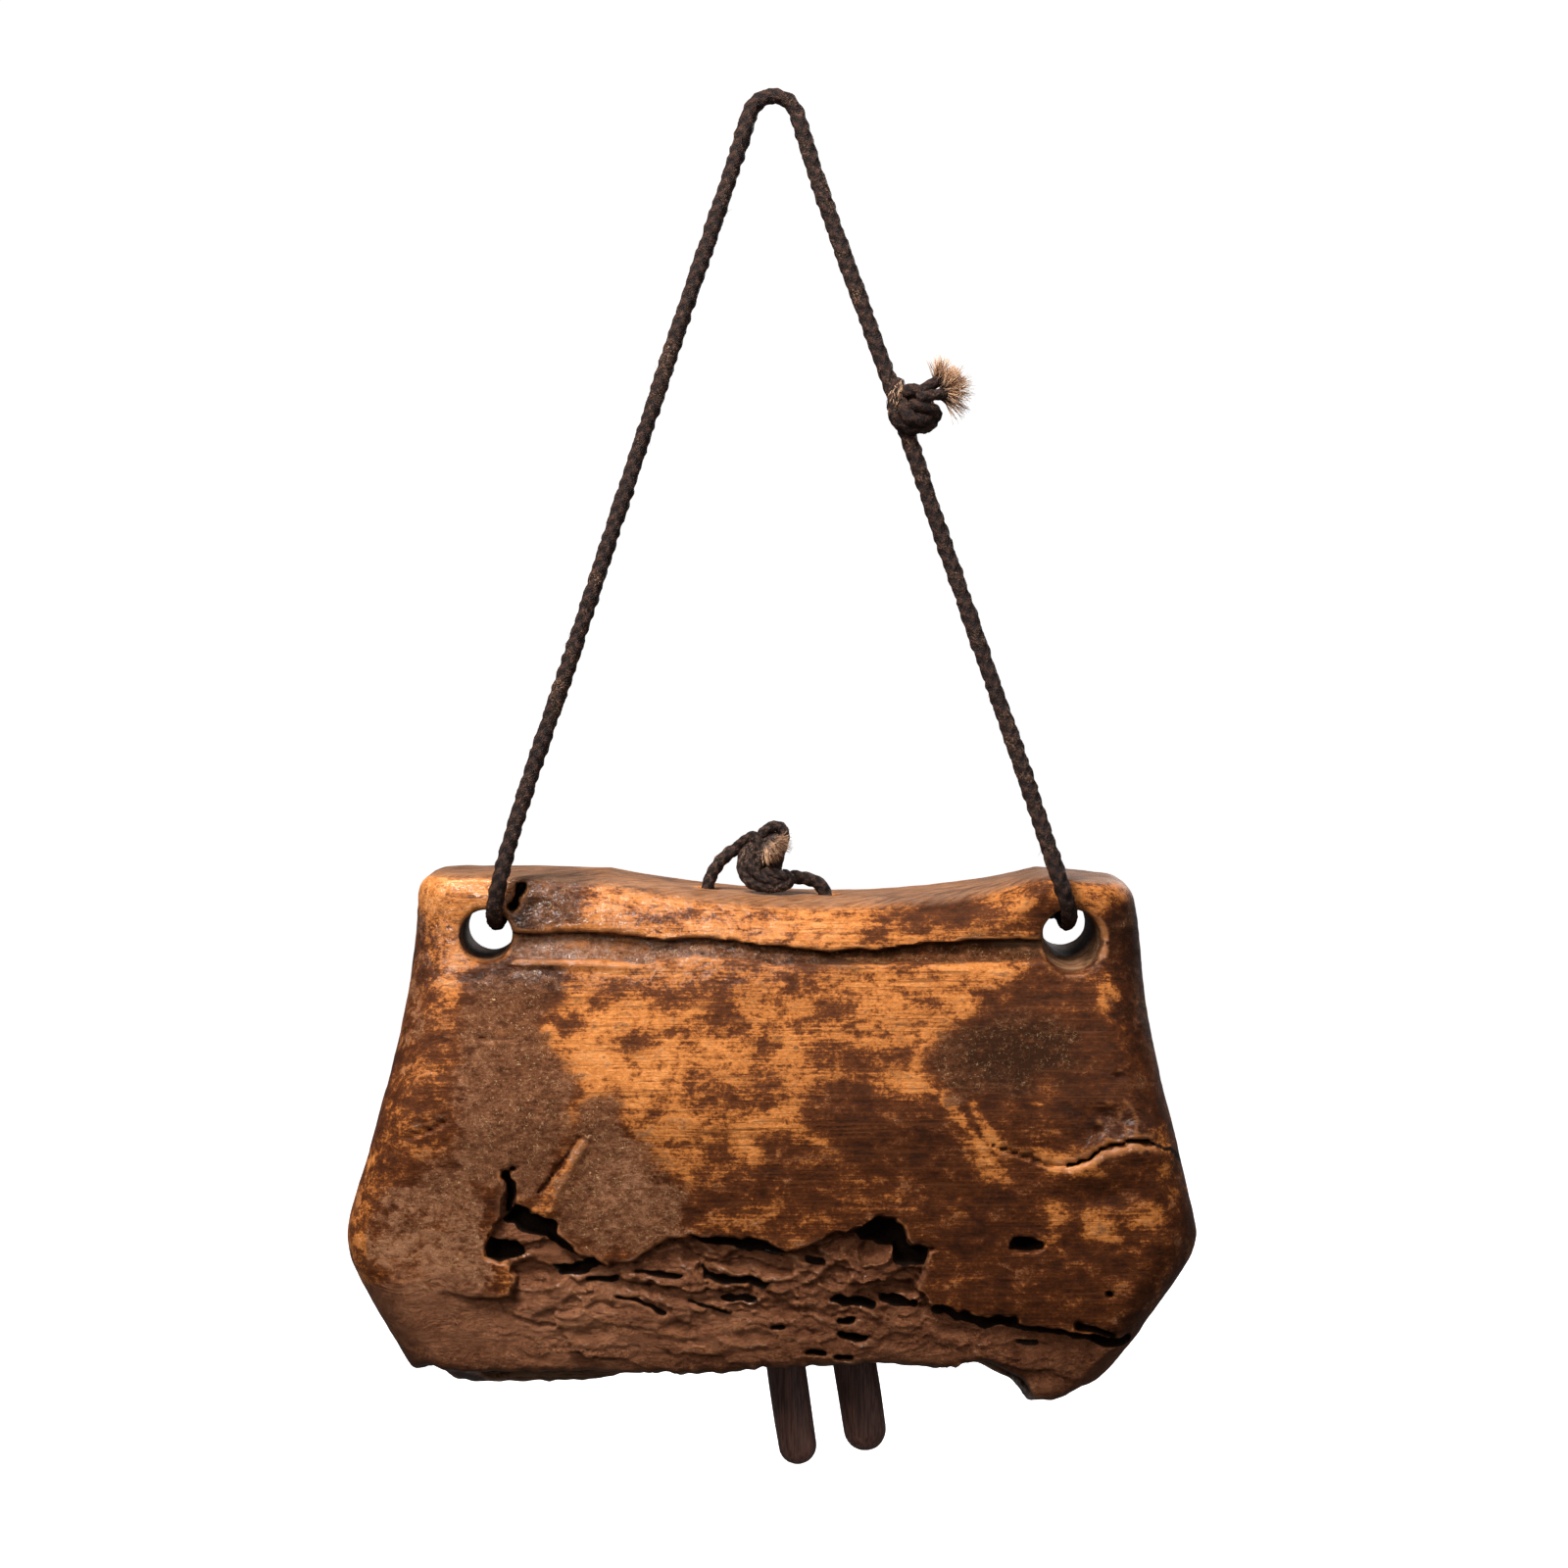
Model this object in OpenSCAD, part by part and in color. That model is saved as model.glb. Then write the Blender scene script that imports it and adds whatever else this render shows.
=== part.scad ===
// Carved wooden cattle bell: a hollowed block hung from a rope loop, with two stick
// clappers on a knotted cord. Millimetres, +Z up, -Y is the front face.
// The origin is the underside of the rope's bight, where a hook or a neck holds it.

/* [Bell block] */
// Width of the block at its widest, across the shoulders
bell_width = 303; // [295:1:310]
// Width of the flat top
top_width = 252; // [246:1:256]
// Height of the top face below the hanging point
top_drop = 270; // [269:0.5:271]
// Height of the block from its top to its original rim
bell_height = 188; // [186:1:192]
// Depth of the block at its flat band
bell_depth = 100; // [98:1:106]
// Depth of the block at its open mouth
mouth_depth = 88; // [88:1:92]
// Thickness of the front and back walls
wall = 12; // [9:0.5:12]
// Thickness of the two end walls
end_wall = 15; // [12:0.5:18]
// Solid wood between the top face and the roof of the hollow
roof = 46; // [44:0.5:47]
// How far the worn front rim has crumbled away
front_wear = 18; // [6:1:20]

/* [Lug holes] */
// Diameter of the two rope holes
lug_hole_d = 18; // [17:0.5:20]
// Distance of the left hole from the middle
lug_left_x = 97.5; // [96:0.5:98]
// Distance of the right hole from the middle
lug_right_x = 103.5; // [102.5:0.5:104]

/* [Ropes] */
// Diameter of the carrying rope
rope_d = 6; // [5:0.1:6.2]
// Diameter of the clapper cord
cord_d = 5; // [4:0.1:5.2]

/* [Clappers] */
// Diameter of the left clapper at its tip
clapper_left_d = 14.4; // [12:0.2:16]
// Diameter of the right clapper at its tip
clapper_right_d = 16; // [13:0.2:17]
// Length of the left clapper from its eye to its tip
clapper_left_l = 154; // [140:1:165]
// Length of the right clapper from its eye to its tip
clapper_right_l = 149; // [140:1:165]
// Diameter of the eye through each clapper
eye_d = 10; // [9.6:0.1:11]
// Thickness of each clapper's whittled head
head_t = 9; // [7:0.5:9]

/* [Hidden] */
$fn = 48;

wood = "peru";
dark_wood = "#3b2a20";
rope_brown = "#3a2c22";
straw = "burlywood";

top_z = -top_drop;
rim_z = top_z - bell_height;
roof_z = top_z - roof;
shoulder_z = top_z - 128;
band_top_z = top_z - 84;
band_bottom_z = top_z - 145;
hole_z = -290.5;
rope_z = -286;
groove_z = -288;
bight_r = 8.5;
bend_r = 12;
wear_r = 4.2;
tube_sides = 10;

eye_z = -331;
eye_left_x = -14.5;
eye_right_x = 10;
cord_left_x = -24;
cord_right_x = 19.5;
cord_hole_d = 8;
head_r = 8.5;
clapper_tilt = -9.2;

// Routes of the ropes' centre lines, in round numbers
BIGHT = [
  [-11.5, -1.5, -13.5], [-9.5, -1, -7], [-8, 0, -2.5], [-5.5, 0, 1], [-2, 0, 2.8],
  [2, 0, 2.8], [5.5, 0, 1], [8, 0, -2.5], [9.5, -1, -7], [11.5, -1.5, -13.5]
];
LOOP = [
  [-12, -1.5, -15], [-33.5, -10, -80], [-53, -18, -140], [-72.5, -26, -200],
  [-87.5, -32, -245], [-92.5, -35.5, -262], [-95.5, -36.5, -274], [-97, -33, -282.5],
  [-97, -24.5, -286], [-97, 0, -286], [-97, 16.5, -286], [-93.5, 25, -286.5],
  [-85, 28.5, -287.5], [-50, 28.5, -288], [0, 28.5, -288], [50, 28.5, -288],
  [91, 28.5, -287.5], [99.5, 25, -286.5], [103, 16.5, -286], [103, 0, -286],
  [103, -24.5, -286], [103, -33, -282.5], [100.5, -36.5, -274], [96.5, -35.5, -262],
  [91, -32, -245], [75.5, -26, -200], [55, -18, -140], [34.5, -10, -80], [12, -1.5, -15]
];
CLAPPER_CORD = [
  [-6, 0, -261], [-12, 0, -262], [-18.5, 0, -266.5], [-22.5, 0, -273.5], [-24, 0, -282],
  [-24, 0, -300], [-24, 0, -321], [-21, 0, -328], [-14, 0, -331], [-2, 0, -331],
  [9.5, 0, -331], [16.5, 0, -328], [19.5, 0, -321], [19.5, 0, -300], [19.5, 0, -282],
  [16.5, 0, -275], [9.5, -1, -272.5], [3, -2, -273]
];

// Points of an arc about [x, y] from angle a to angle b
function arc(x, y, r, a, b, steps = 6) =
  [for (i = [0:steps]) let (t = a + (b - a) * i / steps) [x + r * cos(t), y + r * sin(t)]];

function mirrored(points) =
  concat(points, [for (i = [len(points) - 1:-1:0]) [-points[i].x, points[i].y]]);

function unit(v) = v / norm(v);
function tangent(p, i) = unit(p[min(i + 1, len(p) - 1)] - p[max(i - 1, 0)]);
function square_to(n, t) = unit(n - (n * t) * t);

// Point at share u of the way from p[i] to p[i + 1], on a smooth curve through all of them
function on_curve(p, i, u) =
  let (a = p[max(i - 1, 0)], b = p[i], c = p[i + 1], d = p[min(i + 2, len(p) - 1)])
  (2 * b + (c - a) * u + (2 * a - 5 * b + 4 * c - d) * u * u
    + (3 * b - a - 3 * c + d) * u * u * u) / 2;

function smooth(p, gap) = concat(
  [for (i = [0:len(p) - 2]) let (steps = ceil(norm(p[i + 1] - p[i]) / gap))
    for (k = [0:steps - 1]) on_curve(p, i, k / steps)],
  [p[len(p) - 1]]);

// The direction of each ring's first corner, carried along the curve without twist
function ring_normals(p) =
  [for (i = 0, n = square_to([0.3, 1, 0.2], tangent(p, 0)); i < len(p);
    i = i + 1, n = square_to(n, tangent(p, min(i, len(p) - 1)))) n];

module tube(route, d) {
  sides = tube_sides;
  p = smooth(route, 3 * d);
  n = ring_normals(p);
  last = len(p) - 1;
  corners = [for (i = [0:last]) let (t = tangent(p, i), m = cross(t, n[i]))
    for (k = [0:sides - 1]) let (a = 360 * k / sides) p[i] + d / 2 * (n[i] * cos(a) + m * sin(a))];
  walls = [for (i = [0:last - 1]) for (k = [0:sides - 1])
    let (a = i * sides + k, b = i * sides + (k + 1) % sides) [a, a + sides, b + sides, b]];
  first_cap = [for (k = [0:sides - 1]) k];
  last_cap = [for (k = [sides - 1:-1:0]) last * sides + k];
  polyhedron(corners, concat([first_cap], walls, [last_cap]), convexity = 10);
}

module ring(r, tube_r) {
  rotate_extrude() translate([r, 0]) circle(tube_r);
}

module along_x(length, d) {
  rotate([0, 90, 0]) cylinder(h = length, d = d, center = true);
}

module along_y(length, d) {
  rotate([90, 0, 0]) cylinder(h = length, d = d, center = true);
}

// A stick between two points with a different radius at each end
module stick(a, b, ra, rb) {
  v = b - a;
  translate(a) rotate([0, acos(v.z / norm(v)), atan2(v.y, v.x)]) cylinder(h = norm(v), r1 = ra, r2 = rb);
}

module front_outline() {
  half = bell_width / 2;
  flank = half - 15;
  polygon(mirrored(concat(
    [[0, rim_z], [half - 30, rim_z], [half - 23, rim_z + 9], [half - 6, shoulder_z - 16]],
    arc(half - 10, shoulder_z, 10, -30, 15, 4),
    arc(flank + 240, top_z - 18, 248, 195, 180, 5),
    [[top_width / 2, top_z - 5], [top_width / 2 - 4, top_z]])));
}

module side_outline() {
  half = bell_depth / 2;
  polygon(mirrored(concat(
    [[0, rim_z], [mouth_depth / 2, rim_z], [half, band_bottom_z], [half, band_top_z],
      [half - 2, top_z - 74], [half - 6, top_z - 60], [half - 12, top_z - 44], [half - 18, top_z - 30]],
    arc(14, top_z - 16, 16, 0, 90))));
}

module plan_outline() {
  half = bell_width / 2 + 1;
  depth = bell_depth / 2;
  corner_r = 26;
  polygon(mirrored(concat(
    [[0, -depth]],
    arc(half - corner_r, corner_r - depth, corner_r, -90, 0),
    arc(half - corner_r, depth - corner_r, corner_r, 0, 90),
    [[0, depth]])));
}

module block() {
  intersection() {
    rotate([90, 0, 0]) linear_extrude(bell_depth, center = true) front_outline();
    rotate([90, 0, 90]) linear_extrude(bell_width, center = true) side_outline();
    translate([0, 0, rim_z]) linear_extrude(bell_height) plan_outline();
  }
}

module hollow() {
  half = bell_width / 2 - end_wall;
  depth = bell_depth / 2 - wall;
  intersection() {
    rotate([90, 0, 0]) linear_extrude(bell_depth, center = true)
      polygon(mirrored([[0, rim_z - 2], [half - 28, rim_z - 2], [half, shoulder_z],
        [half - 14, roof_z - 29], [half - 24, roof_z], [0, roof_z]]));
    rotate([90, 0, 90]) linear_extrude(bell_width, center = true)
      polygon(mirrored([[0, rim_z - 2], [mouth_depth / 2 - wall, rim_z - 2], [depth, band_bottom_z],
        [depth, band_top_z], [depth - 8, roof_z - 12], [depth - 16, roof_z], [0, roof_z]]));
  }
}

// Wear where the rope turns over the top edge of a hole's front mouth
module front_wear_notch(x) {
  intersection() {
    translate([x, -24.5, rope_z + bend_r]) rotate([0, 90, 0]) ring(bend_r, wear_r);
    translate([x - 10, -50, rope_z - 10]) cube([20, 25.5, 10 + bend_r]);
  }
}

// Wear where the rope turns out of a hole's back mouth into the back groove
module back_wear_notch(x, side) {
  middle = x - side * bend_r;
  intersection() {
    translate([middle, 16.5, rope_z - 0.5]) ring(bend_r, wear_r);
    translate([middle + (side < 0 ? -20 : 0), 16.5, rope_z - 10]) cube([20, 25, 20]);
  }
}

module lug_holes() {
  for (x = [-lug_left_x, lug_right_x]) translate([x, 0, hole_z]) along_y(bell_depth + 2, lug_hole_d);
  translate([-lug_left_x, -37, hole_z]) sphere(11);
  translate([lug_right_x, -38, hole_z - 4.5]) sphere(13);
  for (x = [-97, 103]) front_wear_notch(x);
  back_wear_notch(-97, -1);
  back_wear_notch(103, 1);
}

module grooves() {
  span = 176;
  translate([3, -36, -294.5]) along_x(span + 8, 17);
  translate([3, 28.5, groove_z]) along_x(span, 2 * wear_r);
  translate([3 - span / 2, 28.5, groove_z - wear_r]) cube([span, 20, 2 * wear_r]);
}

module saddle() {
  saddle_r = 374;
  translate([18, 0, top_z - 7.9 + saddle_r]) rotate([90, 0, 0])
    cylinder(h = bell_depth + 2, r = saddle_r, center = true, $fn = 200);
}

module cord_holes() {
  for (x = [cord_left_x, cord_right_x])
    translate([x, 0, roof_z - 5]) cylinder(h = roof + 10, d = cord_hole_d);
}

module worn_front_rim() {
  translate([-132, -bell_depth, rim_z - 1]) cube([224, bell_depth - 20, front_wear + 1]);
}

module bell_body() {
  color(wood) difference() {
    block();
    hollow();
    lug_holes();
    grooves();
    saddle();
    cord_holes();
    worn_front_rim();
  }
}

module carrying_rope_bight() {
  color(rope_brown) tube(BIGHT, rope_d);
}

module carrying_rope() {
  color(rope_brown) tube(LOOP, rope_d);
}

module overhand_knot(r, tube_r) {
  rotate([20, 70, 0]) ring(r, tube_r);
  rotate([95, 15, 0]) ring(r, tube_r);
  rotate([-35, -30, 0]) ring(r, tube_r);
}

module carrying_rope_knot() {
  color(rope_brown) {
    translate([48, -14.5, -107.5]) overhand_knot(5.8, 3.2);
    stick([50, -15, -106], [61, -17, -100], 3, 3);
  }
}

module carrying_rope_frayed_ends() {
  color(straw) {
    stick([61, -17, -100], [69, -18, -95], 3.2, 6.5);
    translate([69, -18, -95]) sphere(6.2);
  }
}

module clapper_cord() {
  color(rope_brown) tube(CLAPPER_CORD, cord_d);
}

module clapper_cord_knot() {
  color(rope_brown) {
    translate([-1.5, -2, -268.6]) overhand_knot(4.8, 2.6);
    translate([-0.5, -5, -259.5]) rotate([90, 0, -15]) ring(4.4, 2.5);
  }
}

module clapper_cord_frayed_end() {
  color(straw) {
    stick([3, -8, -260], [4.5, -9.5, -267], 2.8, 4.6);
    translate([4.5, -9.5, -267]) sphere(5.2);
  }
}

module clapper(eye_x, length, d) {
  neck = 18;
  r = d / 2;
  translate([eye_x, 0, eye_z]) difference() {
    union() {
      along_x(head_t, 2 * head_r);
      translate([-head_t / 2, -r, -neck]) cube([head_t, d, neck]);
      rotate([0, clapper_tilt, 0]) {
        translate([0, 0, r - length]) cylinder(h = length - r - neck + 4, r1 = r, r2 = r - 0.8);
        translate([0, 0, r - length]) sphere(r);
      }
    }
    along_x(4 * head_r, eye_d);
  }
}

module clapper_left() {
  color(dark_wood) clapper(eye_left_x, clapper_left_l, clapper_left_d);
}

module clapper_right() {
  color(dark_wood) clapper(eye_right_x, clapper_right_l, clapper_right_d);
}

bell_body();
carrying_rope_bight();
carrying_rope();
carrying_rope_knot();
carrying_rope_frayed_ends();
clapper_cord();
clapper_cord_knot();
clapper_cord_frayed_end();
clapper_left();
clapper_right();
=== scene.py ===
"""A carved wooden cattle bell on a knotted rope loop, with two stick clappers on a cord.

Shapes are worked out in millimetres in the frame's own axes, and turned into metres as each mesh is made.
"""

import math

import bpy
import numpy as np
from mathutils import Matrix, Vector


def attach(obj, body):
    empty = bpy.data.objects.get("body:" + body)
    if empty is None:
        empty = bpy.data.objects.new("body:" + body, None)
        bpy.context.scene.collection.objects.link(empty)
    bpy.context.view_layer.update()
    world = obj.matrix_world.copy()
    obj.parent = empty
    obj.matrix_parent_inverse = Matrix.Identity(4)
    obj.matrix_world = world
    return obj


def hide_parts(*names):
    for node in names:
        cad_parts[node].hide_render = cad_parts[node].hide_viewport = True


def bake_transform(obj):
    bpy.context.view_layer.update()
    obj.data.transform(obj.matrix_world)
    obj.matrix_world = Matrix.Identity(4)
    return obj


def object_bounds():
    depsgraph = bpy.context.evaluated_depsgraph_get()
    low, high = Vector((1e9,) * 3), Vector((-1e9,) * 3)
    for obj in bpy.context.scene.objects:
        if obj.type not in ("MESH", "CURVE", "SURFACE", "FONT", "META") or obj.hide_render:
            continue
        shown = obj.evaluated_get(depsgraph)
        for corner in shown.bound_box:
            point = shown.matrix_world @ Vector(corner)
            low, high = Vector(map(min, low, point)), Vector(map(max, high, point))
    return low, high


MM = 0.001
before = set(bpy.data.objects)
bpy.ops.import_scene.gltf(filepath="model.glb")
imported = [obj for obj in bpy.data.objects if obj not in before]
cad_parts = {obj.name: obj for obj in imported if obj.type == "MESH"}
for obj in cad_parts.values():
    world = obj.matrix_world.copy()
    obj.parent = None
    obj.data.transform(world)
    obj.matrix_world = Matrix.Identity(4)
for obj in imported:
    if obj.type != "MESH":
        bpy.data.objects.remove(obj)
cad_low, cad_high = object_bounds()


# ---------------------------------------------------------------- camera

CAMERA_PITCH = math.radians(3)
CAMERA_DISTANCE = 1.545
CAMERA_AIM = (0.0038, 0.0, -0.2393)


def make_camera():
    data = bpy.data.cameras.new("camera")
    data.lens = 100
    data.sensor_width = 36
    data.clip_start = 0.05
    data.clip_end = 20
    camera = bpy.data.objects.new("camera", data)
    camera.location = (
        CAMERA_AIM[0],
        CAMERA_AIM[1] - CAMERA_DISTANCE * math.cos(CAMERA_PITCH),
        CAMERA_AIM[2] + CAMERA_DISTANCE * math.sin(CAMERA_PITCH),
    )
    camera.rotation_euler = (math.pi / 2 - CAMERA_PITCH, 0, 0)
    bpy.context.scene.collection.objects.link(camera)
    bpy.context.scene.camera = camera


make_camera()


# ---------------------------------------------------------------- numbers and meshes


def unit(v):
    return v / np.linalg.norm(v)


def noise(points, size, seed):
    """Smooth noise from -1 to 1 at each point; size is its grain in millimetres, or one size per axis."""
    cells = 32
    lattice = np.random.default_rng(seed).uniform(-1, 1, (cells, cells, cells))
    p = np.asarray(points, float) / np.asarray(size, float)
    base = np.floor(p).astype(int)
    f = p - base
    f = f * f * (3 - 2 * f)
    total = np.zeros(len(p))
    for corner in np.ndindex(2, 2, 2):
        weight = np.prod(np.where(corner, f, 1 - f), axis=1)
        at = (base + corner) % cells
        total += weight * lattice[at[:, 0], at[:, 1], at[:, 2]]
    return total


def fractal(points, size, seed, octaves=3):
    """Noise summed over octaves, each half as large and half as strong as the one before."""
    size = np.asarray(size, float)
    return sum(noise(points, size / 2**i, seed + i) / 2**i for i in range(octaves))


def step(value, low, high):
    """0 below low, 1 above high, smooth between them."""
    t = np.clip((value - low) / (high - low), 0, 1)
    return t * t * (3 - 2 * t)


def smooth_max(a, b, k):
    """The larger of two fields, with the edge between them rounded over about k millimetres."""
    h = np.maximum(k - np.abs(a - b), 0) / k
    return np.maximum(a, b) + h * h * k / 4


def make_object(name, points, faces, material, smooth=True, **attributes):
    """A mesh object from millimetre points, with one number per point for each named attribute."""
    mesh = bpy.data.meshes.new(name)
    mesh.from_pydata(np.asarray(points) * MM, [], faces)
    mesh.update()
    for key, values in attributes.items():
        mesh.attributes.new(key, "FLOAT", "POINT").data.foreach_set("value", np.asarray(values, np.float32))
    if smooth:
        mesh.shade_smooth()
    mesh.materials.append(material)
    made = bpy.data.objects.new(name, mesh)
    bpy.context.scene.collection.objects.link(made)
    return made


def place(piece, body, slot, *nodes):
    """Attaches a piece to the body that it rides on and hides the CAD nodes that it stands for; slot is not
    used.
    """
    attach(piece, body)
    if nodes:
        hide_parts(*nodes)
    return piece


# ---------------------------------------------------------------- material nodes


class Material:
    """A node material, written from the top down: each call adds a node and returns its output."""

    def __init__(self, name, **principled):
        self.material = bpy.data.materials.new(name)
        self.material.use_nodes = True
        self.tree = self.material.node_tree
        self.shader = self.tree.nodes["Principled BSDF"]
        self.where = self.tree.nodes.new("ShaderNodeTexCoord").outputs["Object"]
        for key, value in principled.items():
            self.shader.inputs[key.replace("_", " ")].default_value = value

    def node(self, kind, inputs, **settings):
        made = self.tree.nodes.new(kind)
        for key, value in settings.items():
            setattr(made, key, value)
        for key, value in inputs.items():
            if isinstance(value, bpy.types.NodeSocket):
                self.tree.links.new(value, made.inputs[key])
            else:
                made.inputs[key].default_value = value
        return made

    def attribute(self, name):
        return self.node("ShaderNodeAttribute", {}, attribute_name=name).outputs["Fac"]

    def stretched(self, scale, source=None):
        inputs = {"Vector": source or self.where, "Scale": scale}
        return self.node("ShaderNodeMapping", inputs).outputs["Vector"]

    def turned(self, angle):
        """The object's coordinates turned about Z."""
        inputs = {"Vector": self.where, "Rotation": (0.0, 0.0, angle)}
        return self.node("ShaderNodeMapping", inputs).outputs["Vector"]

    def noise(self, scale, detail=4.0, roughness=0.55, distortion=0.0, source=None):
        """Noise with scale grains a metre along X, Y and Z."""
        inputs = {
            "Vector": self.stretched(scale, source),
            "Scale": 1.0,
            "Detail": detail,
            "Roughness": roughness,
            "Distortion": distortion,
        }
        return self.node("ShaderNodeTexNoise", inputs).outputs["Fac"]

    def math(self, operation, a, b=0.0):
        return self.node("ShaderNodeMath", {0: a, 1: b}, operation=operation).outputs[0]

    def times(self, a, b):
        return self.math("MULTIPLY", a, b)

    def plus(self, a, b):
        return self.math("ADD", a, b)

    def minus(self, a, b):
        return self.math("SUBTRACT", a, b)

    def centred(self, texture, amount):
        """A texture that runs from 0 to 1, moved to run to both sides of 0."""
        return self.times(self.minus(texture, 0.5), amount)

    def remap(self, value, low, high, to_low=0.0, to_high=1.0):
        inputs = {"Value": value, "From Min": low, "From Max": high, "To Min": to_low, "To Max": to_high}
        return self.node("ShaderNodeMapRange", inputs, interpolation_type="SMOOTHSTEP").outputs["Result"]

    def blend(self, factor, a, b):
        """A colour between a and b, each a socket or three linear numbers."""
        a, b = (c if isinstance(c, bpy.types.NodeSocket) else (*c, 1.0) for c in (a, b))
        return self.node("ShaderNodeMix", {0: factor, 6: a, 7: b}, data_type="RGBA").outputs[2]

    def ramp(self, value, stops):
        """A colour read from (position, colour) stops."""
        made = self.node("ShaderNodeValToRGB", {"Fac": value})
        elements = made.color_ramp.elements
        while len(elements) < len(stops):
            elements.new(0.5)
        for element, (position, colour) in zip(elements, stops):
            element.position = position
            element.color = (*colour, 1)
        return made.outputs["Color"]

    def mix(self, factor, a, b):
        """A number between a and b."""
        return self.node("ShaderNodeMix", {0: factor, 2: a, 3: b}, data_type="FLOAT").outputs[0]

    def bump(self, height, distance, strength=1.0, below=None):
        inputs = {"Height": height, "Distance": distance, "Strength": strength}
        if below is not None:
            inputs["Normal"] = below
        return self.node("ShaderNodeBump", inputs).outputs["Normal"]

    def finish(self, colour, roughness, normal):
        self.tree.links.new(colour, self.shader.inputs["Base Color"])
        self.tree.links.new(roughness, self.shader.inputs["Roughness"])
        self.tree.links.new(normal, self.shader.inputs["Normal"])
        return self.material


def rope_material(name, dark, light, dust):
    """Greasy plant-fibre rope: darker in the lay's valleys as painted shade, dusty brown on its ridges, with
    fine fibres.
    """
    m = Material(name, Specular_IOR_Level=0.16)
    ridge = m.attribute("ridge")
    fibre = m.noise((1400, 1400, 1400), 3, 0.7)
    grime = m.noise((120, 120, 120), 4, 0.6)
    # painted shade: the plait's ridge height darkens the valleys between strands and lightens their crowns
    lit = m.times(m.remap(ridge, 0.15, 0.9), m.remap(fibre, 0.38, 0.62, 0.2, 1.0))
    colour = m.blend(lit, dark, light)
    dusty = m.times(m.remap(grime, 0.50, 0.68), m.remap(fibre, 0.5, 0.66))
    colour = m.blend(dusty, colour, dust)
    normal = m.bump(fibre, 0.0009, 1.0)
    return m.finish(colour, m.remap(fibre, 0.35, 0.65, 0.65, 0.42), normal)


def fibre_material():
    """Loose straw-coloured fibres, darker at their roots."""
    m = Material("frayed_fibre")
    tip = m.attribute("tip")
    tone = m.attribute("tone")
    straw = m.blend(tone, (0.12, 0.050, 0.024), (0.74, 0.44, 0.25))
    colour = m.blend(m.remap(tip, 0.0, 0.6), (0.04, 0.018, 0.010), straw)
    streak = m.noise((900, 900, 900), 2)
    return m.finish(colour, m.remap(streak, 0.3, 0.7, 0.55, 0.8), m.bump(streak, 0.0002, 0.5))


# ---------------------------------------------------------------- ropes

ROPE_RADIUS = 3.0
CORD_RADIUS = 2.5

# Centre lines of the ropes, the points of the CAD model's routes
BIGHT = [
    (-11.5, -1.5, -13.5), (-9.5, -1, -7), (-8, 0, -2.5), (-5.5, 0, 1), (-2, 0, 2.8), (2, 0, 2.8),
    (5.5, 0, 1), (8, 0, -2.5), (9.5, -1, -7), (11.5, -1.5, -13.5),
]
LOOP = [
    (-33.5, -10, -80), (-53, -18, -140), (-72.5, -26, -200), (-87.5, -32, -245), (-92.5, -35.5, -262),
    (-95.5, -36.5, -274), (-97, -33, -282.5), (-97, -24.5, -286), (-97, 0, -286), (-97, 16.5, -286),
    (-93.5, 25, -286.5), (-85, 28.5, -287.5), (-50, 28.5, -288), (0, 28.5, -288), (50, 28.5, -288),
    (91, 28.5, -287.5), (99.5, 25, -286.5), (103, 16.5, -286), (103, 0, -286), (103, -24.5, -286),
    (103, -33, -282.5), (100.5, -36.5, -274), (96.5, -35.5, -262), (91, -32, -245), (75.5, -26, -200),
    (55, -18, -140),
]
RIGHT_LEG_TOP = (34.5, -10, -80)
KNOT_ON_LEG = (44.5, -14, -108)
CLAPPER_CORD = [
    (-6, 0, -261), (-12, 0, -262), (-18.5, 0, -266.5), (-22.5, 0, -273.5), (-24, 0, -282), (-24, 0, -300),
    (-24, 0, -321), (-21, 0, -328), (-14, 0, -331), (-2, 0, -331), (9.5, 0, -331), (16.5, 0, -328),
    (19.5, 0, -321), (19.5, 0, -300), (19.5, 0, -282), (16.5, 0, -275), (9.5, -1, -272.5), (3, -2, -273),
]


# Turns and tails of the knot in the right leg, from its middle, and turns of the knot on the bell's top
LEG_KNOT_TURNS = [
    [(-5.5, 2, 9.5), (-5.2, -2.5, 7.3), (-6.4, -4, 4), (-6.6, -4.2, 0), (-5.4, -4, -3.9),
    (-2.4, -3.5, -5.9), (1.4, -3, -6.1), (4.8, -2.6, -5.4), (6.6, -0.5, -4)], [(-2.8, 3, 4.5),
    (-3.4, -3, 2.6), (-2.9, -6, -0.6), (-1.2, -7, -2.9), (1.8, -6.6, -3.6), (4.6, -5, -3.2), (6, -2, -2)],
    [(-1, -3, 1.6), (1.8, -6.6, 1.5), (4.6, -6.4, 0.9), (7.2, -4.5, -0.6), (7.4, -1, -2.2), (5, 2.5, -3)],
    [(-4.6, 1, 6), (-2.6, -3.4, 6.3), (0.2, -5, 6.6), (3, -5, 5.4), (3.9, -3, 3), (2, 0, 1.5)], [(-5, 5, 3),
    (-2, 6.5, -2), (3, 6, -4), (6, 4, 0), (3, 4.5, 4), (-2, 3, 4)], [(-2, 2.5, -2), (0, 1, 0), (3, 0, 0),
    (5, 1, 1)],
]
LEG_KNOT_TAILS = [
    [(1.5, -6.8, 4), (5, -7.6, 4.6), (8.6, -7, 5.2), (11.6, -5.6, 5.6)], [(2.6, -4.5, 6.2),
    (5.6, -4.6, 8.2), (8.6, -4, 10), (10.8, -3.2, 11.4)],
]
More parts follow.
